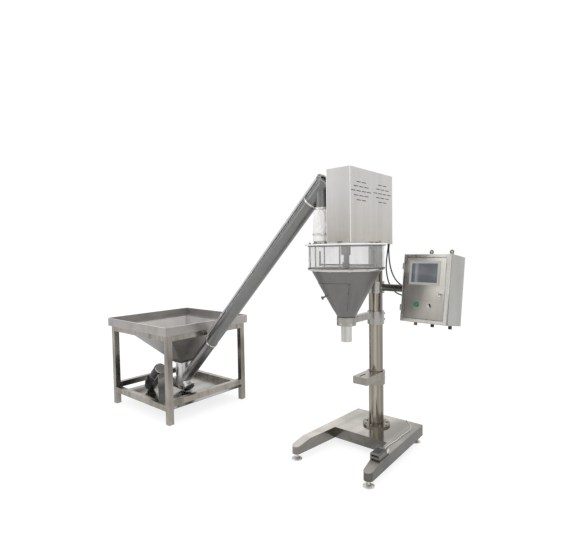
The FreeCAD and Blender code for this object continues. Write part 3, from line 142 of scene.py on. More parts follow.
def along(tree, kind, axis, low, high):
    """0 to 1 as a coordinate, or the face's normal, goes from low to high on an axis."""
    source = tree.nodes.new("ShaderNodeTexCoord" if kind == "Object" else "ShaderNodeNewGeometry")
    parts = tree.nodes.new("ShaderNodeSeparateXYZ")
    share = tree.nodes.new("ShaderNodeMapRange")
    share.inputs["From Min"].default_value = low
    share.inputs["From Max"].default_value = high
    link(tree, source, kind, parts, "Vector")
    link(tree, parts, axis, share, "Value")
    return share


def bump(tree, shader, source, out, strength, distance):
    node = tree.nodes.new("ShaderNodeBump")
    node.inputs["Strength"].default_value = strength
    node.inputs["Distance"].default_value = distance
    link(tree, source, out, node, "Height")
    link(tree, node, "Normal", shader, "Normal")


def steel(name, tone, grain, rough=0.3, fine=0.05, bands=0.10, band_scale=9.0, mottle=0.10,
          side=0.9, under_shade=0.75, metallic=1.0, fades=()):
    """Stainless steel: brushed grain, soft bands along it, clouding, and painted shade that darkens sides and
    undersides.
    """
    material, tree, shader = new_material(name)
    brushed = noise(tree, BRUSH_SCALE, grain, detail=3)
    soft = noise(tree, band_scale, grain, detail=2, distortion=0.3)
    cloud = noise(tree, CLOUD_SCALE, EVEN, detail=6, distortion=0.5)
    lines = ramp(tree, brushed, "Fac", [(0.3, scaled(tone, 1 - fine)), (0.7, scaled(tone, 1 + fine))])
    wide = ramp(tree, soft, "Fac", [(0.30, grey(1 - 2 * bands)), (0.46, grey(1 - bands / 2)),
                                    (0.54, grey(1.0)), (0.66, grey(1 - bands))])
    shade = ramp(tree, cloud, "Fac", [(0.35, grey(1 - mottle)), (0.6, grey(1.0))])
    # Painted shade by which way a face points: undersides darkest, sides darker, tops at full tone.
    painted_facing_shade = ramp(tree, along(tree, "Normal", "Z", -1.0, 1.0), "Result",
                  [(0.0, grey(under_shade)), (0.45, grey(side)), (0.55, grey(side)), (1.0, grey(1.0))])
    out = multiply(tree, lines.outputs["Color"], wide.outputs["Color"])
    out = multiply(tree, out, shade.outputs["Color"])
    out = multiply(tree, out, painted_facing_shade.outputs["Color"])
    for kind, axis, low, high, stops in fades:
        fade = ramp(tree, along(tree, kind, axis, low, high), "Result", stops)
        out = multiply(tree, out, fade.outputs["Color"])
    tree.links.new(out, shader.inputs["Base Color"])
    shader.inputs["Metallic"].default_value = metallic
    gloss = ramp(tree, cloud, "Fac", [(0.3, grey(rough - 0.04)), (0.7, grey(rough + 0.06))])
    link(tree, gloss, "Color", shader, "Roughness")
    bump(tree, shader, brushed, "Fac", 0.10, GRAIN_DEPTH)
    return material


def plastic(name, tone, rough=0.4, grain=FINE_SCALE, depth=0.08, spread=0.06):
    """Moulded plastic or paint with a fine texture."""
    material, tree, shader = new_material(name)
    speck = noise(tree, grain, EVEN, detail=3)
    cloud = noise(tree, 9.0, EVEN, detail=3)
    colours = ramp(tree, cloud, "Fac", [(0.3, scaled(tone, 1 - spread)), (0.7, tone)])
    link(tree, colours, "Color", shader, "Base Color")
    gloss = ramp(tree, speck, "Fac", [(0.3, grey(rough - 0.05)), (0.7, grey(rough + 0.07))])
    link(tree, gloss, "Color", shader, "Roughness")
    bump(tree, shader, speck, "Fac", depth, GRAIN_DEPTH)
    return material


def acrylic(name):
    """Clear hopper wall: mostly see-through, with a painted pale sheen and faint dust."""
    material, tree, shader = new_material(name)
    dust_and_sheen = noise(tree, 14.0, (1, 1, 0.2), detail=4)
    tone = ramp(tree, dust_and_sheen, "Fac", [(0.3, colour(214, 214, 212)), (0.7, colour(236, 236, 235))])
    # The pale cover is a painted sheen, thicker where the noise is high.
    cover = ramp(tree, dust_and_sheen, "Fac", [(0.35, grey(0.12)), (0.75, grey(0.24))])
    link(tree, tone, "Color", shader, "Base Color")
    link(tree, cover, "Color", shader, "Alpha")
    shader.inputs["Roughness"].default_value = 0.06
    shader.inputs["IOR"].default_value = 1.3
    return material


def cloth(name):
    """Pale filter cloth with a fine weave."""
    material, tree, shader = new_material(name)
    warp = noise(tree, FINE_SCALE, (1, 1, 0.08), detail=2)
    weft = noise(tree, FINE_SCALE, (0.08, 0.08, 1), detail=2)
    cloud = noise(tree, 14.0, (1, 1, 0.5), detail=5)
    tone = ramp(tree, cloud, "Fac", [(0.3, colour(236, 230, 226)), (0.55, colour(250, 248, 247)),
                                     (0.75, colour(254, 253, 253))])
    thread_stops = [(0.3, grey(0.97)), (0.6, grey(1.0))]
    threads = multiply(tree, ramp(tree, warp, "Fac", thread_stops).outputs["Color"],
                       ramp(tree, weft, "Fac", thread_stops).outputs["Color"])
    out = multiply(tree, tone.outputs["Color"], threads)
    tree.links.new(out, shader.inputs["Base Color"])
    shader.inputs["Roughness"].default_value = 0.85
    shader.inputs["Sheen Weight"].default_value = 0.15
    bump(tree, shader, warp, "Fac", 0.25, THREAD_DEPTH)
    return material


def screen(name):
    """Dark display glass with a painted glint: a soft pale patch towards one edge."""
    material, tree, shader = new_material(name)
    cloud = noise(tree, 5.0, EVEN, detail=1)
    tone = ramp(tree, cloud, "Fac", [(0.3, colour(150, 152, 164)), (0.7, colour(164, 166, 175))])
    # Painted glint: a pale band across X on the glass.
    painted_glint = ramp(tree, along(tree, "Object", "X", 1.26, 1.48), "Result",
                 [(0.0, grey(0.36)), (0.14, grey(0.40)), (0.22, grey(0.95)), (0.32, grey(0.42)),
                  (1.0, grey(0.34))])
    tree.links.new(multiply(tree, tone.outputs["Color"], painted_glint.outputs["Color"]),
                   shader.inputs["Base Color"])
    shader.inputs["Roughness"].default_value = 0.12
    shader.inputs["Coat Weight"].default_value = 0.4
    return material


# Changes of tone along an axis: (coordinate or normal, axis, low, high, stops).
# Painted warm reflection on the motor case, darker towards its bottom.
WARM_LOW_REFLECTION = ("Object", "Z", 1.56, 2.06, [(0.0, (0.86, 0.82, 0.76, 1.0)), (0.3, (0.94, 0.92, 0.89, 1.0)),
                                        (0.7, grey(0.99)), (1.0, grey(1.0))])
# Painted shade on faces that point to the front, towards -Y.
PAINTED_SHADE_FRONT = ("Normal", "Y", -1.0, -0.6, [(0.0, grey(0.74)), (1.0, grey(1.0))])
# Painted shade on the cabinet door, darker towards its lower part.
DOOR_PAINTED_SHADE = ("Object", "Z", 0.98, 1.46, [(0.0, grey(0.44)), (0.35, grey(0.70)), (0.5, grey(1.0)),
                                         (0.75, grey(0.96)), (1.0, grey(1.0))])
# Painted reflection streaks on the round columns, set by which way a face points across X.
PAINTED_REFLECTION_STREAKS = ("Normal", "X", -1.0, 1.0, [
    (0.0, grey(0.95)), (0.10, grey(0.55)), (0.24, grey(0.62)), (0.30, grey(0.98)), (0.40, grey(0.74)),
    (0.52, grey(0.60)), (0.64, grey(0.92)), (0.74, grey(1.0)), (0.82, grey(0.60)), (0.92, grey(0.86)),
    (1.0, grey(0.60))])
# Painted light along the conveyor tube: a painted highlight at its lower end and painted shade up its length.
TUBE_PAINTED_LIGHT = ("Object", "X", -0.92, -0.40, [(0.0, grey(1.0)), (0.13, grey(0.42)), (0.6, grey(0.40)),
                                             (0.75, grey(0.29)), (1.0, grey(0.29))])
DARK_EARS = ("Object", "Z", 1.4700, 1.4706, [(0.0, grey(1.0)), (1.0, grey(0.35))])
BRIGHT_CLAMP = ("Object", "X", AXIS_X + 0.066, AXIS_X + 0.076, [(0.0, grey(1.0)), (1.0, grey(0.30))])
# Painted shade on the base, darker towards its right.
BASE_PAINTED_SHADE_RIGHT = ("Object", "X", 0.70, 1.27, [(0.0, grey(1.0)), (0.45, grey(0.9)), (1.0, grey(0.58))])
# The side and underside numbers below set painted shade on faces that point sideways and down.
MATERIALS = {
    "plate": steel("BrushedSheet", colour(196, 194, 190), UP, rough=0.30),
    "neck": steel("NeckSheet", colour(178, 175, 170), UP, rough=0.28, bands=0.14, side=0.85),
    "bracket": steel("BracketSheet", colour(176, 170, 162), UP, rough=0.28, bands=0.1, side=0.66),
    "case": steel("BrushedHood", colour(208, 206, 205), UP, rough=0.32, bands=0.05, mottle=0.06,
                  side=0.97, under_shade=0.92, fades=[WARM_LOW_REFLECTION, PAINTED_SHADE_FRONT]),
    "column": steel("PolishedColumn", colour(172, 165, 153), UP, rough=0.18, bands=0.12,
                    band_scale=26.0, side=0.96, under_shade=0.9, fades=[PAINTED_REFLECTION_STREAKS]),
    "polished": steel("PolishedSteel", colour(206, 204, 200), UP, rough=0.16, bands=0.12,
                      band_scale=30.0),
    "lid": steel("BrightLid", colour(246, 246, 245), UP, rough=0.3, bands=0.02, mottle=0.04,
                 side=1.0, under_shade=0.95, metallic=0.7),
    "foot": steel("FootSteel", colour(222, 220, 216), EVEN, rough=0.34, side=1.0, under_shade=0.9,
                  metallic=0.7),
    "shaft": steel("ShaftSteel", colour(104, 102, 100), UP, rough=0.25, bands=0.2),
    "rod": steel("RodSteel", colour(150, 148, 145), UP, rough=0.2, bands=0.1),
    "cone": steel("SatinCone", colour(126, 125, 124), UP, rough=0.45, bands=0.05, mottle=0.06,
                  under_shade=0.8, metallic=0.8),
    "tube": steel("SatinTube", colour(219, 218, 217), EVEN, rough=0.3, fine=0.02, bands=0.04,
                  mottle=0.10, side=0.96, under_shade=0.88, metallic=0.9, fades=[TUBE_PAINTED_LIGHT]),
    "conduit": steel("BrightConduit", colour(184, 185, 186), EVEN, rough=0.2, fine=0.01,
                     bands=0.03, side=0.98, under_shade=0.7),
    "frame": steel("FrameSteel", colour(178, 172, 163), (1, 1, 0.10), rough=0.24, bands=0.20,
                   band_scale=12.0, mottle=0.24, side=0.80, under_shade=0.62),
    "pan": steel("PanSteel", colour(176, 172, 169), ALONG_Y, rough=0.36, bands=0.08, band_scale=5.0,
                 mottle=0.14, side=0.9, under_shade=0.62, metallic=0.8),
    "sheet": steel("FloorSheet", colour(176, 174, 170), ALONG_Y, rough=0.2, bands=0.2,
                   band_scale=6.0, mottle=0.25, under_shade=0.6),
    "clamp": steel("BrightClamp", colour(222, 221, 218), EVEN, rough=0.2, bands=0.05),
    # The base carries strong painted shade on its sides and undersides, and more painted shade towards its
    # right.
    "base": steel("BaseSheet", colour(212, 207, 199), ALONG_Y, rough=0.15, bands=0.14,
                  band_scale=7.0, mottle=0.3, side=0.34, under_shade=0.25, fades=[BASE_PAINTED_SHADE_RIGHT]),
    "door": steel("DoorSheet", colour(222, 218, 209), UP, rough=0.3, bands=0.08, mottle=0.06,
                  side=1.0, under_shade=0.95, fades=[DOOR_PAINTED_SHADE]),
    "shell": steel("CabinetShell", colour(178, 178, 174), UP, rough=0.32, bands=0.05, side=0.95,
                   under_shade=0.8, fades=[DARK_EARS]),
    "border": steel("BorderSheet", colour(208, 206, 201), UP, rough=0.26, bands=0.12, mottle=0.12,
                    side=0.95, under_shade=0.9),
    "seam": steel("SeamSteel", colour(112, 108, 102), EVEN, rough=0.4, bands=0.05),
    "arm": steel("ArmSteel", colour(182, 180, 176), UP, rough=0.3, bands=0.05, fades=[BRIGHT_CLAMP]),
    "black": plastic("BlackPaint", colour(50, 50, 52), rough=0.42),
    "rubber": plastic("BlackRubber", colour(38, 38, 40), rough=0.6),
    "gasket": plastic("DarkGasket", colour(74, 73, 71), rough=0.7),
    "red": plastic("RedGland", colour(150, 84, 76), rough=0.5),
    "white_cord": plastic("WhiteCord", colour(232, 232, 230), rough=0.5),
    "green": plastic("GreenButton", colour(30, 132, 84), rough=0.3, depth=0.03),
    "white": plastic("WhiteLever", colour(228, 228, 226), rough=0.35, depth=0.03),
    "bezel": plastic("PanelBezel", colour(188, 189, 186), rough=0.45),
    "treadle": plastic("TreadlePaint", colour(120, 118, 115), rough=0.55, grain=500.0, depth=0.3),
    "cloth": cloth("SleeveCloth"),
    "acrylic": acrylic("ClearAcrylic"),
    "screen": screen("DisplayGlass"),
}
CAD_LOOKS = {
    "plate": ("motor_plate", "servo_motor", "inlet_spigot", "drive_case"),
    "neck": ("neck_clamp", "neck_collar"),
    "foot": ("levelling_feet",),
    "shaft": ("agitator", "shaft_housing"),
    "bracket": ("support_bracket",),
    "case": ("motor_case",),
    "column": ("outer_column", "inner_column"),
    "lid": ("lid_plate",),
    "rod": ("tie_rods", "auger_screw"),
    "polished": ("hopper_ring", "discharge_tube", "agitator_pulley", "motor_pulley", "door_hinge_pins",
                 "cone_hinge_pin", "flange_bolts", "bracket_bolts", "conveyor_screw", "door_lock",
                 "control_collars"),
    "cone": ("hopper_cone", "cone_door"),
    "tube": ("conveyor_tube", "conveyor_head"),
    "conduit": ("conduit",),
    "frame": ("feeder_frame",),
    "sheet": ("floor_plate",),
    "pan": ("feeder_hopper",),
    "clamp": ("tube_clamps", "sleeve_band_lower", "sleeve_band_upper"),
    "base": ("base_frame",),
    "door": ("cabinet_door",),
    "shell": ("cabinet_shell",),
    "black": ("gear_motor", "agitator_motor", "neck_clamp_bolts", "end_caps"),
    "arm": ("cabinet_arm",),
    "rubber": ("drive_belt", "cable_glands", "selector_switch"),
    "white_cord": ("pedal_plug",),
    "green": ("start_button",),
    "bezel": ("hmi_panel",),
    "treadle": ("pedal_base", "pedal_treadle"),
    "acrylic": ("acrylic_cylinder",),
}
for look, names in CAD_LOOKS.items():
    for name in names:
        mesh = NODES[name].data
        for index in range(len(mesh.materials)):
            mesh.materials[index] = MATERIALS[look]


# ------------------------------------------------------------------ mesh helpers
STILL = Matrix.Identity(4)
SHARP_ANGLE = math.radians(35)
# The tilted frames of the cabinet and the conveyor, and the gear motor's axis in the second.
CABINET = (Matrix.Translation(at(0, 419, 1215)) @ Matrix.Rotation(math.radians(-5.6), 4, "Z")
           @ Matrix.Rotation(math.radians(-8.2), 4, "X"))
CONVEYOR = Matrix.Translation(at(-200, 0, 1962)) @ Matrix.Rotation(math.radians(45), 4, "Y")
MOTOR = CONVEYOR @ Matrix.Translation((-0.176, -0.2, 0))


def here(x, y, z, turn=STILL):
    """A placement in the filler's own millimetres."""
    return Matrix.Translation(at(x, y, z)) @ turn


def inside(base, x, y, z, turn=STILL):
    """A placement in millimetres inside a tilted frame."""
    return base @ Matrix.Translation((x / 1000, y / 1000, z / 1000)) @ turn


def spin(angle, axis="Z"):
    return Matrix.Rotation(math.radians(angle), 4, axis)


def put(name, data):
    """A new object in the scene."""
    obj = bpy.data.objects.new(name, data)
    bpy.context.scene.collection.objects.link(obj)
    return obj


def piece(name, mesh_data, look, body, smooth=True):
    """Turns a bmesh into an object that rides on a body."""
    bmesh.ops.recalc_face_normals(mesh_data, faces=mesh_data.faces)
    mesh = bpy.data.meshes.new(name)
    mesh_data.to_mesh(mesh)
    mesh_data.free()
    mesh.materials.append(MATERIALS[look])
    obj = put(name, mesh)
    for polygon in mesh.polygons:
        polygon.use_smooth = smooth
    if smooth:
        mesh.set_sharp_from_angle(angle=SHARP_ANGLE)
    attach(obj, body)


def skin(target, loops):
    """Joins each loop of points to the next with four-sided faces."""
    for low, high in zip(loops, loops[1:]):
        for k in range(len(low)):
            n = (k + 1) % len(low)
            target.faces.new([low[k], low[n], high[n], high[k]])


def add_lathe(target, profile, placement, segments=32):
    """Adds a closed turned form; profile points are (radius, height) in millimetres."""
    rings = []
    for radius, height in profile:
        if radius < 1e-6:
            rings.append([target.verts.new(placement @ Vector((0, 0, height / 1000)))])
            continue
        rings.append([
            target.verts.new(placement @ Vector((radius / 1000 * math.cos(math.tau * i / segments),
                                                 radius / 1000 * math.sin(math.tau * i / segments),
                                                 height / 1000)))
            for i in range(segments)])
    for low, high in zip(rings, rings[1:]):
        for i in range(segments):
            j = (i + 1) % segments
            corners = [low[i % len(low)], low[j % len(low)], high[j % len(high)], high[i % len(high)]]
            kept = list(dict.fromkeys(corners))
            if len(kept) > 2:
                target.faces.new(kept)


def add_block(target, low, high, placement, edge=1.0, segments=2):
    """Adds a block with rounded edges; sizes in millimetres inside the placement."""
    fresh = bmesh.new()
    bmesh.ops.create_cube(fresh, size=1)
    middle = [(a + b) / 2000 for a, b in zip(low, high)]
    size = [(b - a) / 1000 for a, b in zip(low, high)]
    for vertex in fresh.verts:
        vertex.co = Vector(m + s * c for m, s, c in zip(middle, size, vertex.co))
    bmesh.ops.bevel(fresh, geom=fresh.edges[:], offset=edge / 1000, segments=segments, affect="EDGES",
                    profile=0.5)
    join(target, fresh, placement)


def join(target, fresh, placement):
    """Moves a finished bmesh into another one."""
    made = {v: target.verts.new(placement @ v.co) for v in fresh.verts}
    for face in fresh.faces:
        target.faces.new([made[v] for v in face.verts])
    fresh.free()


def add_tube(target, points, radius, sides=8, closed=False):
    """Adds a round bar along metre points, with flat ends unless it closes on itself."""
    count = len(points)
    rings = []
    for i, point in enumerate(points):
        before = points[i - 1] if i or closed else point
        after = points[(i + 1) % count] if i < count - 1 or closed else point
        way = (after - before).normalized()
        side = way.orthogonal() if not rings else (side - way * side.dot(way))
        side.normalize()
        other = way.cross(side)
        rings.append([target.verts.new(point + radius * (side * math.cos(math.tau * k / sides)
                                                         + other * math.sin(math.tau * k / sides)))
                      for k in range(sides)])
    skin(target, rings + rings[:1] if closed else rings)
    if not closed:
        target.faces.new(rings[0][::-1])
        target.faces.new(rings[-1])


def hex_bolt(target, placement, radius=9, height=7, washer=1.3):
    """Adds a hexagon head with a chamfered top on its washer."""
    add_lathe(target, [(0, 0), (radius * washer, 0), (radius * washer, 1.4), (0, 1.4)], placement, 24)
    add_lathe(target, [(0, 1.4), (radius, 1.4), (radius, height - 1.2), (radius * 0.86, height),
                       (0, height)], placement, 6)


def socket_bolt(target, placement, radius=6, height=7):
    """Adds a round socket head with its recess."""
    add_lathe(target, [(0, 0), (radius, 0), (radius, height - 0.8), (radius - 0.8, height),
                       (radius * 0.5, height), (radius * 0.5, height * 0.45), (0, height * 0.45)],
              placement, 20)


def ring_of(radius, angles, placement=STILL, height=0):
    """Placements round a circle, X pointing outwards."""
    return [placement @ spin(a) @ Matrix.Translation((radius / 1000, 0, height / 1000)) for a in angles]


WELD_RIPPLE = 2.1


def circle(radius, z, count, wobble=0.0):
    """Points round the discharge axis; a weld's radius wobbles a little."""
    points = []
    for i in range(count):
        angle = math.tau * i / count
        reach = radius + wobble * math.sin(i * WELD_RIPPLE)
        points.append(at(reach * math.cos(angle), reach * math.sin(angle), z))
    return points


def every(count, start=0.0):
    """Angles of evenly spaced places round a circle, in degrees."""
    return [start + 360 * i / count for i in range(count)]


# ------------------------------------------------------------------ cloth sleeve
SLEEVE_X = -200
SLEEVE_SIDES = 180
SLEEVE_ROWS = 84
SLEEVE_LOW = 1573
SLEEVE_HIGH = 1816
SLEEVE_WIDEST = 71.5
# The cloth stays outside the spigot below the first height and outside the spout above the second.
SPIGOT_TOP, SPIGOT_REACH = 1652, 66.6
SPOUT_FOOT, SPOUT_REACH = 1789, 48.8
HEM_POINTS = 90
# height, middle radius, fold depth, how much the folds wander
SLEEVE_FORM = [
    (1573, 68.2, 0.9, 0.2), (1600, 67.8, 0.9, 0.4), (1616, 67.2, 0.35, 0.1), (1627, 67.2, 0.35, 0.1),
    (1645, 67.6, 1.3, 0.6), (1668, 66.6, 2.0, 1.6), (1695, 65.6, 2.6, 2.6), (1725, 65.2, 2.9, 3.0),
    (1755, 64.6, 3.1, 2.6), (1775, 62.8, 3.4, 1.8), (1790, 57.0, 3.0, 0.8), (1799, 52.4, 1.4, 0.2),
    (1803, 50.6, 0.8, 0.1), (1812, 50.6, 0.8, 0.1), (1816, 51.0, 1.0, 0.2),
]


def eased(share):
    return share * share * (3 - 2 * share)


def sleeve_form(z):
    for low, high in zip(SLEEVE_FORM, SLEEVE_FORM[1:]):
        if z <= high[0]:
            share = eased((z - low[0]) / (high[0] - low[0]))
            return [a + (b - a) * share for a, b in zip(low, high)][1:]
    return SLEEVE_FORM[-1][1:]


def sleeve_radius(angle, z):
    """Radius of the gathered cloth: many small folds at the bands, fewer and softer between."""
    middle, depth, wander = sleeve_form(z)
    drift = 0.28 * math.sin(z / 31) + 0.17 * math.sin(z / 13 + 1.3)
    folds = (0.55 * math.sin(13 * (angle + drift * 0.6) + 0.8 * math.sin(2 * angle))
             + 0.30 * math.sin(22 * angle - 2.1 * drift + 0.6) + 0.25 * math.sin(7 * angle + 1.9 * drift))
    slack = (math.sin(z / 9.5 + 2.2 * math.sin(angle * 2 + 0.7)) * 0.5
             + math.sin(z / 15.0 - 1.7 * math.sin(angle * 3)) * 0.5)
    return middle + depth * folds + wander * slack * 0.8


sleeve = bmesh.new()
rows = []
for step in range(SLEEVE_ROWS + 1):
    z = SLEEVE_LOW + (SLEEVE_HIGH - SLEEVE_LOW) * step / SLEEVE_ROWS
    row = []
    for side in range(SLEEVE_SIDES):
        angle = math.tau * side / SLEEVE_SIDES
        radius = min(sleeve_radius(angle, z), SLEEVE_WIDEST)
        if z < SPIGOT_TOP:
            radius = max(radius, SPIGOT_REACH)
        if z > SPOUT_FOOT:
            radius = max(radius, SPOUT_REACH)
        row.append(sleeve.verts.new(at(SLEEVE_X + radius * math.cos(angle), radius * math.sin(angle), z)))
    rows.append(row)
skin(sleeve, rows)
sleeve_mesh = bpy.data.meshes.new("ClothSleeve")
sleeve.to_mesh(sleeve_mesh)
sleeve.free()
sleeve_mesh.materials.append(MATERIALS["cloth"])
sleeve_mesh.shade_smooth()
cloth_sleeve = put("ClothSleeve", sleeve_mesh)
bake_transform(cloth_sleeve)
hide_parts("cloth_sleeve")

# Each end of the sleeve is turned back and stitched.
for name, body, z in (("SleeveHemLower", "head", 1574.5), ("SleeveHemUpper", "stand", 1814.5)):
    hem = bmesh.new()
    line = []
    for i in range(HEM_POINTS):
        angle = math.tau * i / HEM_POINTS
        radius = sleeve_radius(angle, z) + 0.2
        line.append(at(SLEEVE_X + radius * math.cos(angle), radius * math.sin(angle), z))
    add_tube(hem, line, 0.0011, sides=8, closed=True)
    piece(name, hem, "cloth", body)

# Worm housing and screw of each band.
for name, body, z, radius in (("BandScrewLower", "head", 1621.5, 72.6),
                              ("BandScrewUpper", "stand", 1807.7, 54.6)):
    screw = bmesh.new()
    turn = here(SLEEVE_X, 0, z, spin(-58))
    add_block(screw, (radius - 1, -8, -5.5), (radius + 6, 8, 5.5), turn, edge=1.5)
    add_lathe(screw, [(0, -13), (3.4, -13), (3.4, -9), (2.6, -8.4), (2.6, 12), (0, 12)],
              turn @ Matrix.Translation(((radius + 3) / 1000, 0, 0)) @ spin(90, "X"), 16)
    piece(name, screw, "clamp", body)

# ------------------------------------------------------------------ head and hopper
# Hexagon bolts on the flange of the inlet spigot.
bolts = bmesh.new()
for place in ring_of(71.6, every(8, 22), here(SLEEVE_X, 0, 1552)):
    hex_bolt(bolts, place, radius=4.6, height=5, washer=1.05)
piece("SpigotBolts", bolts, "black", "head", smooth=False)

# Band and clips that hold the ring to the cone.
clips = bmesh.new()
add_lathe(clips, [(246.4, 1361.5), (248.6, 1361.5), (250.6, 1363.5), (250.6, 1368.6), (246.4, 1368.6)],
          here(0, 0, 0), 96)
for place in ring_of(0, every(12, 8), here(0, 0, 0)):
    add_block(clips, (249, -6, 1359), (252.4, 6, 1368.6), place, edge=1.0)
piece("RingClips", clips, "clamp", "head")

# Seals round the cylinder's lower and upper edges.
seals = bmesh.new()
for z in (1380.6, 1532.2):
    add_tube(seals, circle(267.0, z, 96), 0.0018, sides=8, closed=True)
piece("CylinderSeals", seals, "gasket", "head")

# Weld beads at the cone's lower end and round its rim.
beads = bmesh.new()
for radius, z in ((38.6, 993.5), (246.8, 1366.8)):
    add_tube(beads, circle(radius, z, 120, wobble=0.3), 0.0014, sides=6, closed=True)
piece("ConeBeads", beads, "clamp", "head")

# Screws along the lower edges of the motor case.
screws = bmesh.new()
screw_places = [here(97 * way, y, 1572, spin(90 * way, "Y")) for y in (-60, 60, 190, 320, 450)
                for way in (1, -1)]
screw_places += [here(x, -91, 1572, spin(90, "X")) for x in (-80, 80)]
for place in screw_places:
    socket_bolt(screws, place, radius=3.6, height=2.4)
piece("HoodScrews", screws, "polished", "head")

# The case's folded corners: rounded strips in the brighter lid steel, a painted highlight along each edge.
corners = bmesh.new()
for x in (-96.2, 96.2):
    for y in (-90.2, 513.2):
        add_tube(corners, [at(x, y, 1560), at(x, y, 2064)], 0.0020, sides=12)
piece("HoodCornerHighlights", corners, "lid", "head")

# Neck collar: pads for a hook spanner and a ring of socket screws.
neck = bmesh.new()
for place in ring_of(0, every(6, -90), here(0, 0, 0)):
    add_block(neck, (66.9, -9, 984), (69.2, 9, 993), place, edge=0.8)
for place in ring_of(68.2, every(12, -84), here(0, 0, 1013)):
    socket_bolt(neck, place @ spin(90, "Y"), radius=3.2, height=1.6)
piece("NeckCollarParts", neck, "polished", "head")

# ------------------------------------------------------------------ gear motor
# Cooling fins, fan cover and flange bolts of the motor.
fins = bmesh.new()
for place in ring_of(0, every(36), MOTOR):
    add_block(fins, (50.5, -1.1, -2690), (55.5, 1.1, -2600), place, edge=0.7, segments=1)
add_lathe(fins, [(0, -2728), (34, -2728), (47, -2722), (53.6, -2712), (53.6, -2697), (51, -2695), (0, -2695)],
          MOTOR, 40)
for place in ring_of(57, every(6, 30), MOTOR):
    hex_bolt(fins, place @ Matrix.Translation((0, 0, -2.534)) @ spin(180, "X"), radius=5, height=5)
piece("MotorFins", fins, "black", "stand")

# Bright disc on the gear case, with its screws.
disc = bmesh.new()
add_lathe(disc, [(0, -2424.4), (56.5, -2424.4), (59, -2426.5), (59, -2438), (58.4, -2439),
                 (58.4, -2425.8), (0, -2425.8)],
          MOTOR, 48)
for place in ring_of(44, every(6, 10), MOTOR, -2424.6):
    socket_bolt(disc, place, radius=4.5, height=3)
piece("GearDisc", disc, "clamp", "stand")

# Terminal box on the motor's side, with its lid.
box_lid = bmesh.new()
terminal = MOTOR @ spin(-120)
add_block(box_lid, (46, -26, -2672), (66, 26, -2612), terminal, edge=3)
add_block(box_lid, (64, -23, -2669), (69, 23, -2615), terminal, edge=1.5)
piece("TerminalBox", box_lid, "black", "stand")

# ------------------------------------------------------------------ conveyor
# Flange bolts where the conveyor's two lengths and its head are joined.
joint_bolts = bmesh.new()
for height in (-135, -1831):
    for place in ring_of(58.6, every(10, 9), CONVEYOR, height + 6.0):
        hex_bolt(joint_bolts, place, radius=3.0, height=4.4, washer=1.0)
for place in ring_of(70, every(8, 22.5), CONVEYOR, 60.6):
    hex_bolt(joint_bolts, place, radius=5.0, height=5.5, washer=1.2)
piece("ConveyorBolts", joint_bolts, "polished", "stand", smooth=False)

# Weld beads of the feeder's rim and of its pan's four sloping corners.
rim_line = bmesh.new()
RIM = [(-2521, -478), (-1511, -478), (-1511, 478), (-2521, 478)]
PAN_MIDDLE = -2000
PAN_WALL = 3
rim_corners = [at(x, y, 863.4) for x, y in RIM]
for start, end in zip(rim_corners, rim_corners[1:] + rim_corners[:1]):
    way = (end - start).normalized() * 0.004
    add_tube(rim_line, [start + way, end - way], 0.0026, sides=8)
for x, low_x, y, low_y in ((-2444, -2025, -401, -75), (-1588, -1875, -401, -75),
                           (-1588, -1875, 401, 75), (-2444, -2025, 401, 75)):
    inward = PAN_WALL if x < PAN_MIDDLE else -PAN_WALL
    forward = PAN_WALL if y < 0 else -PAN_WALL
    add_tube(rim_line, [at(x + inward, y + forward, 784), at(low_x + inward, low_y + forward, 438)],
             0.0016, sides=6)
piece("RimBeads", rim_line, "clamp", "stand")

# ------------------------------------------------------------------ cabinet
# The door's edges and front, in millimetres inside the cabinet's frame.
DOOR_LEFT, DOOR_RIGHT = 264, 617
DOOR_LOW, DOOR_HIGH = -236, 250
DOOR_FRONT = -51.6
LOCK = inside(CABINET, 560, 0, -29, spin(90, "X"))


def door_corners(margin):
    """The door's four corners as (x, z), drawn in by a margin."""
    return [(DOOR_LEFT + margin, DOOR_LOW + margin), (DOOR_RIGHT - margin, DOOR_LOW + margin),
            (DOOR_RIGHT - margin, DOOR_HIGH - margin), (DOOR_LEFT + margin, DOOR_HIGH - margin)]


# A bead round the door's edge and a seam inside its raised border.
SEAM_STEPS = 10
door_trim = bmesh.new()
door_seam = bmesh.new()
for target, margin, thick in ((door_trim, 5, 0.0018), (door_seam, 27, 0.0016)):
    corners = door_corners(margin)
    loop = []
    for (x, z), (nx, nz) in zip(corners, corners[1:] + corners[:1]):
        for i in range(SEAM_STEPS):
            share = i / SEAM_STEPS
            spot = inside(CABINET, x + (nx - x) * share, DOOR_FRONT + 1.2, z + (nz - z) * share)
            loop.append(spot.translation)
    add_tube(target, loop, thick, sides=8, closed=True)
piece("DoorBead", door_trim, "clamp", "cabinet_door")
piece("DoorSeam", door_seam, "seam", "cabinet_door")
border = bmesh.new()
loops = []
for margin, depth in ((6, 51.8), (6, 52.6), (7, 52.9), (25, 52.9), (25.6, 52.6), (25.6, 51.8)):
    loops.append([border.verts.new(inside(CABINET, x, -depth, z).translation)
                  for x, z in door_corners(margin)])
skin(border, loops + loops[:1])
piece("DoorBorder", border, "border", "cabinet_door", smooth=False)
lock_plate = bmesh.new()
add_lathe(lock_plate, [(10.6, 52), (17.5, 52), (17.5, 54), (16.2, 55), (11.6, 55), (10.6, 54)], LOCK, 36)
piece("LockPlate", lock_plate, "clamp", "cabinet_door")

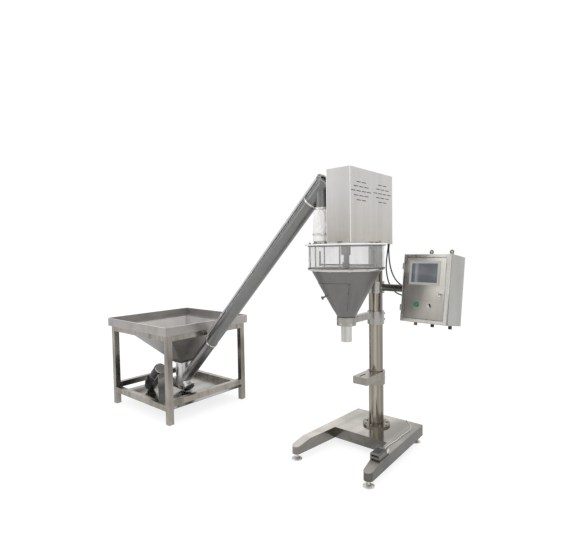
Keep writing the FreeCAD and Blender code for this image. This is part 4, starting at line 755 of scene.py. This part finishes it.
# The panel's screen and the lip round its bezel.
panel = bmesh.new()
add_block(panel, (335.6, -54.7, 47.6), (530.4, -53.7, 181.4), CABINET, edge=0.4, segments=1)
piece("DisplayScreen", panel, "screen", "cabinet_door", smooth=False)
lip = bmesh.new()
for low, high in (((319, -56.4, 31), (547, -55.2, 35)), ((319, -56.4, 194), (547, -55.2, 198)),
                  ((319, -56.4, 35), (323, -55.2, 194)), ((543, -56.4, 35), (547, -55.2, 194))):
    add_block(lip, low, high, CABINET, edge=0.5)
piece("BezelLip", lip, "bezel", "cabinet_door")

# Button, selector and key.
button = bmesh.new()
front = inside(CABINET, 387, 0, -110, spin(90, "X"))
add_lathe(button, [(0, 59.2), (16.4, 59.2), (17.0, 60.4), (15.6, 62.4), (10.0, 63.6), (4.5, 64.2), (0, 64.3)],
          front, 36)
piece("ButtonCap", button, "green", "start_button")
lever = bmesh.new()
turn = inside(CABINET, 485, 0, -110, spin(90, "X")) @ spin(24)
add_block(lever, (-4.2, -14.5, 64.2), (4.2, 14.5, 71.5), turn, edge=2.0, segments=3)
piece("SelectorLever", lever, "white", "selector_switch")
mark = bmesh.new()
add_block(mark, (-1.7, -1, 71.4), (1.7, 13.0, 72.4), turn, edge=0.5)
piece("SelectorMark", mark, "black", "selector_switch")

key = bmesh.new()
KEY_POINTS = 28
add_block(key, (-1.0, -4.2, 55), (1.0, 4.2, 63), LOCK, edge=0.4)
add_lathe(key, [(0, -1.1), (9.5, -1.1), (10.5, 0), (9.5, 1.1), (0, 1.1)],
          LOCK @ Matrix.Translation((0, 0, 0.0715)) @ spin(90, "Y"), KEY_POINTS)
# The key's two rings: sideways lean, middle and half width across, middle and half width out, wire.
for lean, across, wide, out, deep, wire in ((0.4, -13.5, 8.5, 71.5, 8.5, 0.0008),
                                            (3.0, -34.5, 13, 68.5, 4, 0.0010)):
    ring = [inside(LOCK, lean * math.sin(a), across + wide * math.cos(a),
                   out + deep * math.sin(a)).translation
            for a in (math.tau * i / KEY_POINTS for i in range(KEY_POINTS))]
    add_tube(key, ring, wire, sides=6, closed=True)
piece("LockKey", key, "polished", "door_lock")

# Inside the cabinet, seen when its door is open: plate, ducts, rails and modules.
plate = bmesh.new()
add_block(plate, (288, 160, -214), (593, 163, 226), CABINET, edge=1)
for z in (-150, -20, 110):
    add_block(plate, (330, 152, z - 17), (552, 154, z + 17), CABINET, edge=0.6)
    add_block(plate, (330, 153, z - 12), (552, 161, z + 12), CABINET, edge=0.8)
piece("MountingPlate", plate, "shell", "cabinet")
ducts = bmesh.new()
for low, high in (((292, 118, -212), (324, 160, 224)), ((558, 118, -212), (590, 160, 224)),
                  ((324, 118, 192), (558, 160, 224)), ((324, 118, 30), (558, 160, 60))):
    add_block(ducts, low, high, CABINET, edge=1.5)
for z in range(-200, 190, 15):
    for x in (324, 553):
        add_block(ducts, (x, 124, z), (x + 5, 156, z + 7), CABINET, edge=0.5, segments=1)
piece("WiringDucts", ducts, "bezel", "cabinet")
modules = bmesh.new()
for x, z, wide, tall, deep in ((338, 110, 96, 100, 74), (446, 110, 44, 84, 62), (496, 110, 44, 84, 62),
                               (338, -20, 44, 78, 66), (388, -20, 44, 78, 66), (440, -20, 96, 92, 88)):
    add_block(modules, (x, 152 - deep, z - tall / 2), (x + wide, 152, z + tall / 2), CABINET, edge=2.5)
    add_block(modules, (x + 6, 147 - deep, z - tall / 4), (x + wide - 6, 153 - deep, z + tall / 4), CABINET,
              edge=2.0)
piece("ControlModules", modules, "black", "cabinet")
strip = bmesh.new()
for i in range(26):
    add_block(strip, (334 + 8 * i, 112, -176), (341 + 8 * i, 152, -124), CABINET, edge=1.2, segments=1)
piece("TerminalStrip", strip, "white", "cabinet")

# Locknuts over the cable glands on the cabinet's floor.
for index, look in enumerate(("red", "rubber", "rubber")):
    nut = bmesh.new()
    base = inside(CABINET, 311 + 132 * index, 95, -236)
    add_lathe(nut, [(12.2, -14), (14.2, -12.6), (14.2, -7.6), (12.2, -6.2)], base, 6)
    add_lathe(nut, [(0, -26.4), (10.6, -26.4), (12.6, -24.2), (12.8, -14), (0, -14)], base, 28)
    piece(f"GlandNut{index}", nut, look, "cabinet")

# Clamp screws of the cabinet's arm on the column.
arm_screws = bmesh.new()
for z in (1188, 1242):
    for angle in (-42, -130):
        outside = here(0, 419, z, spin(angle)) @ Matrix.Translation((0.0672, 0, 0))
        socket_bolt(arm_screws, outside @ spin(90, "Y"), radius=7, height=5)
piece("ArmScrews", arm_screws, "polished", "cabinet")

# ------------------------------------------------------------------ pedal
# Cap of the treadle's pin, and the ribs of its tread.
cap = bmesh.new()
add_lathe(cap, [(0, 0), (15.8, 0), (16.6, 1.0), (15.6, 2.2), (6.4, 2.6), (6.0, 3.8), (5.2, 4.4), (0, 4.5)],
          here(316.4, 2, 157, spin(90, "Y")), 40)
piece("PedalCap", cap, "clamp", "pedal_treadle")
ribs = bmesh.new()
tread = here(0, 2, 157, spin(-1, "X"))
for i in range(10):
    add_block(ribs, (249, -97 + 8.5 * i, 6.4), (303, -93 + 8.5 * i, 8.2), tread, edge=0.7)
piece("TreadleRibs", ribs, "rubber", "pedal_treadle")

# ------------------------------------------------------------------ cords
def spline_curve(name, points, radius):
    """A round cord whose centreline is a smooth NURBS spline."""
    curve = bpy.data.curves.new(name, "CURVE")
    curve.dimensions = "3D"
    spline = curve.splines.new("NURBS")
    spline.points.add(len(points) - 1)
    for place, point in zip(spline.points, points):
        place.co = (*point, 1.0)
    spline.order_u = 3
    spline.use_endpoint_u = True
    curve.resolution_u = 6
    curve.bevel_depth = radius
    curve.bevel_resolution = 5
    curve.use_fill_caps = True
    return curve


def curve_length(curve):
    """Length of a curve's own line, and its points."""
    bare = curve.copy()
    bare.bevel_depth = 0
    obj = bpy.data.objects.new("Measure", bare)
    mesh = bpy.data.meshes.new_from_object(obj)
    points = [v.co.copy() for v in mesh.vertices]
    bpy.data.objects.remove(obj)
    bpy.data.meshes.remove(mesh)
    return sum((b - a).length for a, b in zip(points, points[1:])), points


def mm(points):
    """Points in millimetres as places in the row."""
    return [at(x, y, z) for x, y, z in points]


POWER_CABLE = [
    (76, 490, 1545), (66, 487, 1471), (60, 482, 1405), (64, 473, 1345), (79, 464, 1283),
    (101, 455, 1233), (135, 447, 1192), (185, 441, 1163), (246, 438, 1152),
]
SIGNAL_CABLE = [
    (88, 470, 1545), (90, 466, 1480), (98, 460, 1415), (112, 454, 1357), (136, 448, 1303),
    (170, 443, 1259), (215, 440, 1228), (250, 439, 1222),
]
ON_BASE = 130
ON_FLOOR = 2.5
PEDAL_CORD = [
    (262, 28.6, ON_BASE), (260, 68, ON_BASE), (254, 116, ON_BASE), (255, 165, ON_BASE),
    (262, 218, ON_BASE), (262, 275, ON_BASE), (256, 335, ON_BASE), (258, 395, ON_BASE),
    (263, 450, ON_BASE), (252, 505, ON_BASE), (224, 553, ON_BASE), (186, 592, ON_BASE),
    (152, 630, ON_BASE + 2), (136, 655, 108), (128, 664, 62), (120, 676, 24), (100, 700, ON_FLOOR),
    (60, 718, ON_FLOOR),
]
COIL_RADIUS = 27
COIL_POINTS = 14
COIL_TURNS = 5
COIL_STEP = 5.6
COIL_X, COIL_Y = 49, 693
COIL_START = math.radians(66)
coil = []
for i in range(1, COIL_POINTS * COIL_TURNS + 1):
    angle = COIL_START + math.tau * i / COIL_POINTS
    coil.append((COIL_X + COIL_RADIUS * math.cos(angle), COIL_Y + COIL_RADIUS * math.sin(angle),
                 ON_FLOOR + COIL_STEP * i / COIL_POINTS))
coil += [(40, 727, 27), (18, 733, 19), (-6, 735, 14)]

cord_curve = spline_curve("PedalCord", mm(PEDAL_CORD + coil), 0.0025)
cord_curve.materials.append(MATERIALS["white_cord"])
cord_length, _ = curve_length(cord_curve)
pedal_cord = put("PedalCord", cord_curve)
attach(pedal_cord, "stand")
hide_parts("pedal_cord", "pedal_cord_coil")


def held_cable(name, node, points):
    """A cable from the head down to the cabinet's arm."""
    curve = spline_curve(name, mm(points), 0.005)
    length, path = curve_length(curve)
    holder = bpy.data.objects.new(name + "Line", curve)
    mesh = bpy.data.meshes.new_from_object(holder)
    bpy.data.objects.remove(holder)
    mesh.name = name
    obj = put(name, mesh)
    mesh.materials.clear()
    mesh.materials.append(MATERIALS["rubber"])
    for polygon in mesh.polygons:
        polygon.use_smooth = True
    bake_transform(obj)
    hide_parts(node)


held_cable("PowerCable", "cable_power", POWER_CABLE)
held_cable("SignalCable", "cable_signal", SIGNAL_CABLE)

# Tapered strain reliefs where the cords leave their housings.
RELIEF_SIDES = 20
CORD_EXIT_X, CORD_EXIT_Y, RELIEF_FOOT = 262, 28.6, 127.15
relief = bmesh.new()
loops = []
for y, wide, tall in ((21, 7.0, 5.2), (26.5, 7.0, 5.2), (27.5, 5.8, 4.4), (31, 5.6, 4.2), (32, 5.0, 3.9),
                      (36, 4.8, 3.7), (37, 4.3, 3.5), (41, 4.1, 3.3), (42, 3.7, 3.1), (50, 2.9, 2.8)):
    middle = CORD_EXIT_X - max(0, y - CORD_EXIT_Y) * 0.05
    loops.append([relief.verts.new(at(middle + wide * math.cos(math.tau * k / RELIEF_SIDES), y,
                                      RELIEF_FOOT + tall + tall * math.sin(math.tau * k / RELIEF_SIDES)))
                  for k in range(RELIEF_SIDES)])
skin(relief, loops)
relief.faces.new(loops[0][::-1])
relief.faces.new(loops[-1])
piece("PedalStrainRelief", relief, "rubber", "stand")
for name, (x, y, _) in (("PowerGland", POWER_CABLE[0]), ("SignalGland", SIGNAL_CABLE[0])):
    gland = bmesh.new()
    add_lathe(gland, [(0, 1), (9, 1), (9, -9), (7.6, -10), (7.6, -14), (6.0, -26), (5.1, -29), (0, -29)],
              here(x, y, 1546), 24)
    piece(name, gland, "rubber", "head")


# ------------------------------------------------------------------ stage, light, camera
def seen_rays(tree):
    """1 for rays from the camera, and for those off glossy pieces and through clear ones."""
    paths = tree.nodes.new("ShaderNodeLightPath")
    value = paths.outputs["Is Camera Ray"]
    for kind in ("Is Glossy Ray", "Is Transmission Ray"):
        most = tree.nodes.new("ShaderNodeMath")
        most.operation = "MAXIMUM"
        tree.links.new(value, most.inputs[0])
        tree.links.new(paths.outputs[kind], most.inputs[1])
        value = most.outputs["Value"]
    return value


def background_material(name):
    """Pale floor that shows as white where nothing shades it, and keeps the filler's shadow."""
    material = bpy.data.materials.new(name)
    material.use_nodes = True
    tree = material.node_tree
    tree.nodes.clear()
    output = tree.nodes.new("ShaderNodeOutputMaterial")
    floor = tree.nodes.new("ShaderNodeBsdfDiffuse")
    floor.inputs["Color"].default_value = (0.93, 0.93, 0.93, 1)
    white = tree.nodes.new("ShaderNodeEmission")
    white.inputs["Color"].default_value = (1, 1, 1, 1)
    white.inputs["Strength"].default_value = WHITE_STRENGTH
    share = tree.nodes.new("ShaderNodeMath")
    share.operation = "MULTIPLY"
    share.inputs[1].default_value = FLOOR_GLOW
    tree.links.new(seen_rays(tree), share.inputs[0])
    mix = tree.nodes.new("ShaderNodeMixShader")
    link(tree, share, "Value", mix, "Fac")
    tree.links.new(floor.outputs["BSDF"], mix.inputs[1])
    tree.links.new(white.outputs["Emission"], mix.inputs[2])
    link(tree, mix, "Shader", output, "Surface")
    return material


# How much of the floor is light of its own as the camera sees it, and how strong that light is.
FLOOR_GLOW = 0.62
WHITE_STRENGTH = 1.25
# Strength of the surroundings for the rays that only light the pieces.
AMBIENT = 0.80
FLOOR_HALF = 14
mesh = bpy.data.meshes.new("Floor")
mesh.from_pydata([(FLOOR_HALF * x, FLOOR_HALF * y, 0) for x, y in ((-1, -1), (1, -1), (1, 1), (-1, 1))],
                 [], [(0, 1, 2, 3)])
mesh.materials.append(background_material("PaleFloor"))
floor = put("Floor", mesh)
floor.location.z = -0.0005

world = bpy.data.worlds.new("Studio")
bpy.context.scene.world = world
world.use_nodes = True
tree = world.node_tree
strength = tree.nodes.new("ShaderNodeMix")
strength.data_type = "FLOAT"
strength.inputs["A"].default_value = AMBIENT
strength.inputs["B"].default_value = 1.0
tree.links.new(seen_rays(tree), strength.inputs["Factor"])
link(tree, strength, "Result", tree.nodes["Background"], "Strength")
tree.nodes["Background"].inputs["Color"].default_value = (1, 1, 1, 1)


def area_light(name, place, target, size, power):
    """A square lamp that faces a target."""
    light = bpy.data.lights.new(name, "AREA")
    light.shape = "SQUARE"
    light.size = size
    light.energy = power
    obj = put(name, light)
    obj.location = place
    way = (Vector(target) - Vector(place)).normalized()
    obj.rotation_euler = way.to_track_quat("-Z", "Y").to_euler()


area_light("KeyLight", (5.0, -3.5, 4.6), (0.6, 0, 1.0), 3.0, 70)
area_light("FillLight", (-3.5, -4.5, 3.8), (0.0, 0, 0.8), 3.5, 36)
area_light("TopLight", (0.2, 0.5, 5.5), (0.2, 0.2, 0.8), 4.0, 40)

# The camera fitted to the photograph: image and focal length in pixels, sensor in millimetres.
IMAGE_WIDTH = 580
FOCAL_PIXELS = 428.23
SENSOR = 36.0


def make_camera():
    yaw = math.radians(40.38)
    pitch = math.radians(2.67)
    roll = math.radians(-0.87)
    ahead = Vector((-math.sin(yaw) * math.cos(pitch), math.cos(yaw) * math.cos(pitch), -math.sin(pitch)))
    level = Vector((math.cos(yaw), math.sin(yaw), 0))
    upright = level.cross(ahead)
    right = level * math.cos(roll) + upright * math.sin(roll)
    up = upright * math.cos(roll) - level * math.sin(roll)
    data = bpy.data.cameras.new("PhotoCamera")
    data.sensor_width = SENSOR
    data.sensor_fit = "HORIZONTAL"
    data.lens = FOCAL_PIXELS * SENSOR / IMAGE_WIDTH
    camera = put("PhotoCamera", data)
    turn = Matrix((right, up, -ahead)).transposed()
    camera.matrix_world = Matrix.Translation(at(1651, -2549.8, 1492.8)) @ turn.to_4x4()
    bpy.context.scene.camera = camera


make_camera()
bpy.context.scene.view_settings.view_transform = "Standard"
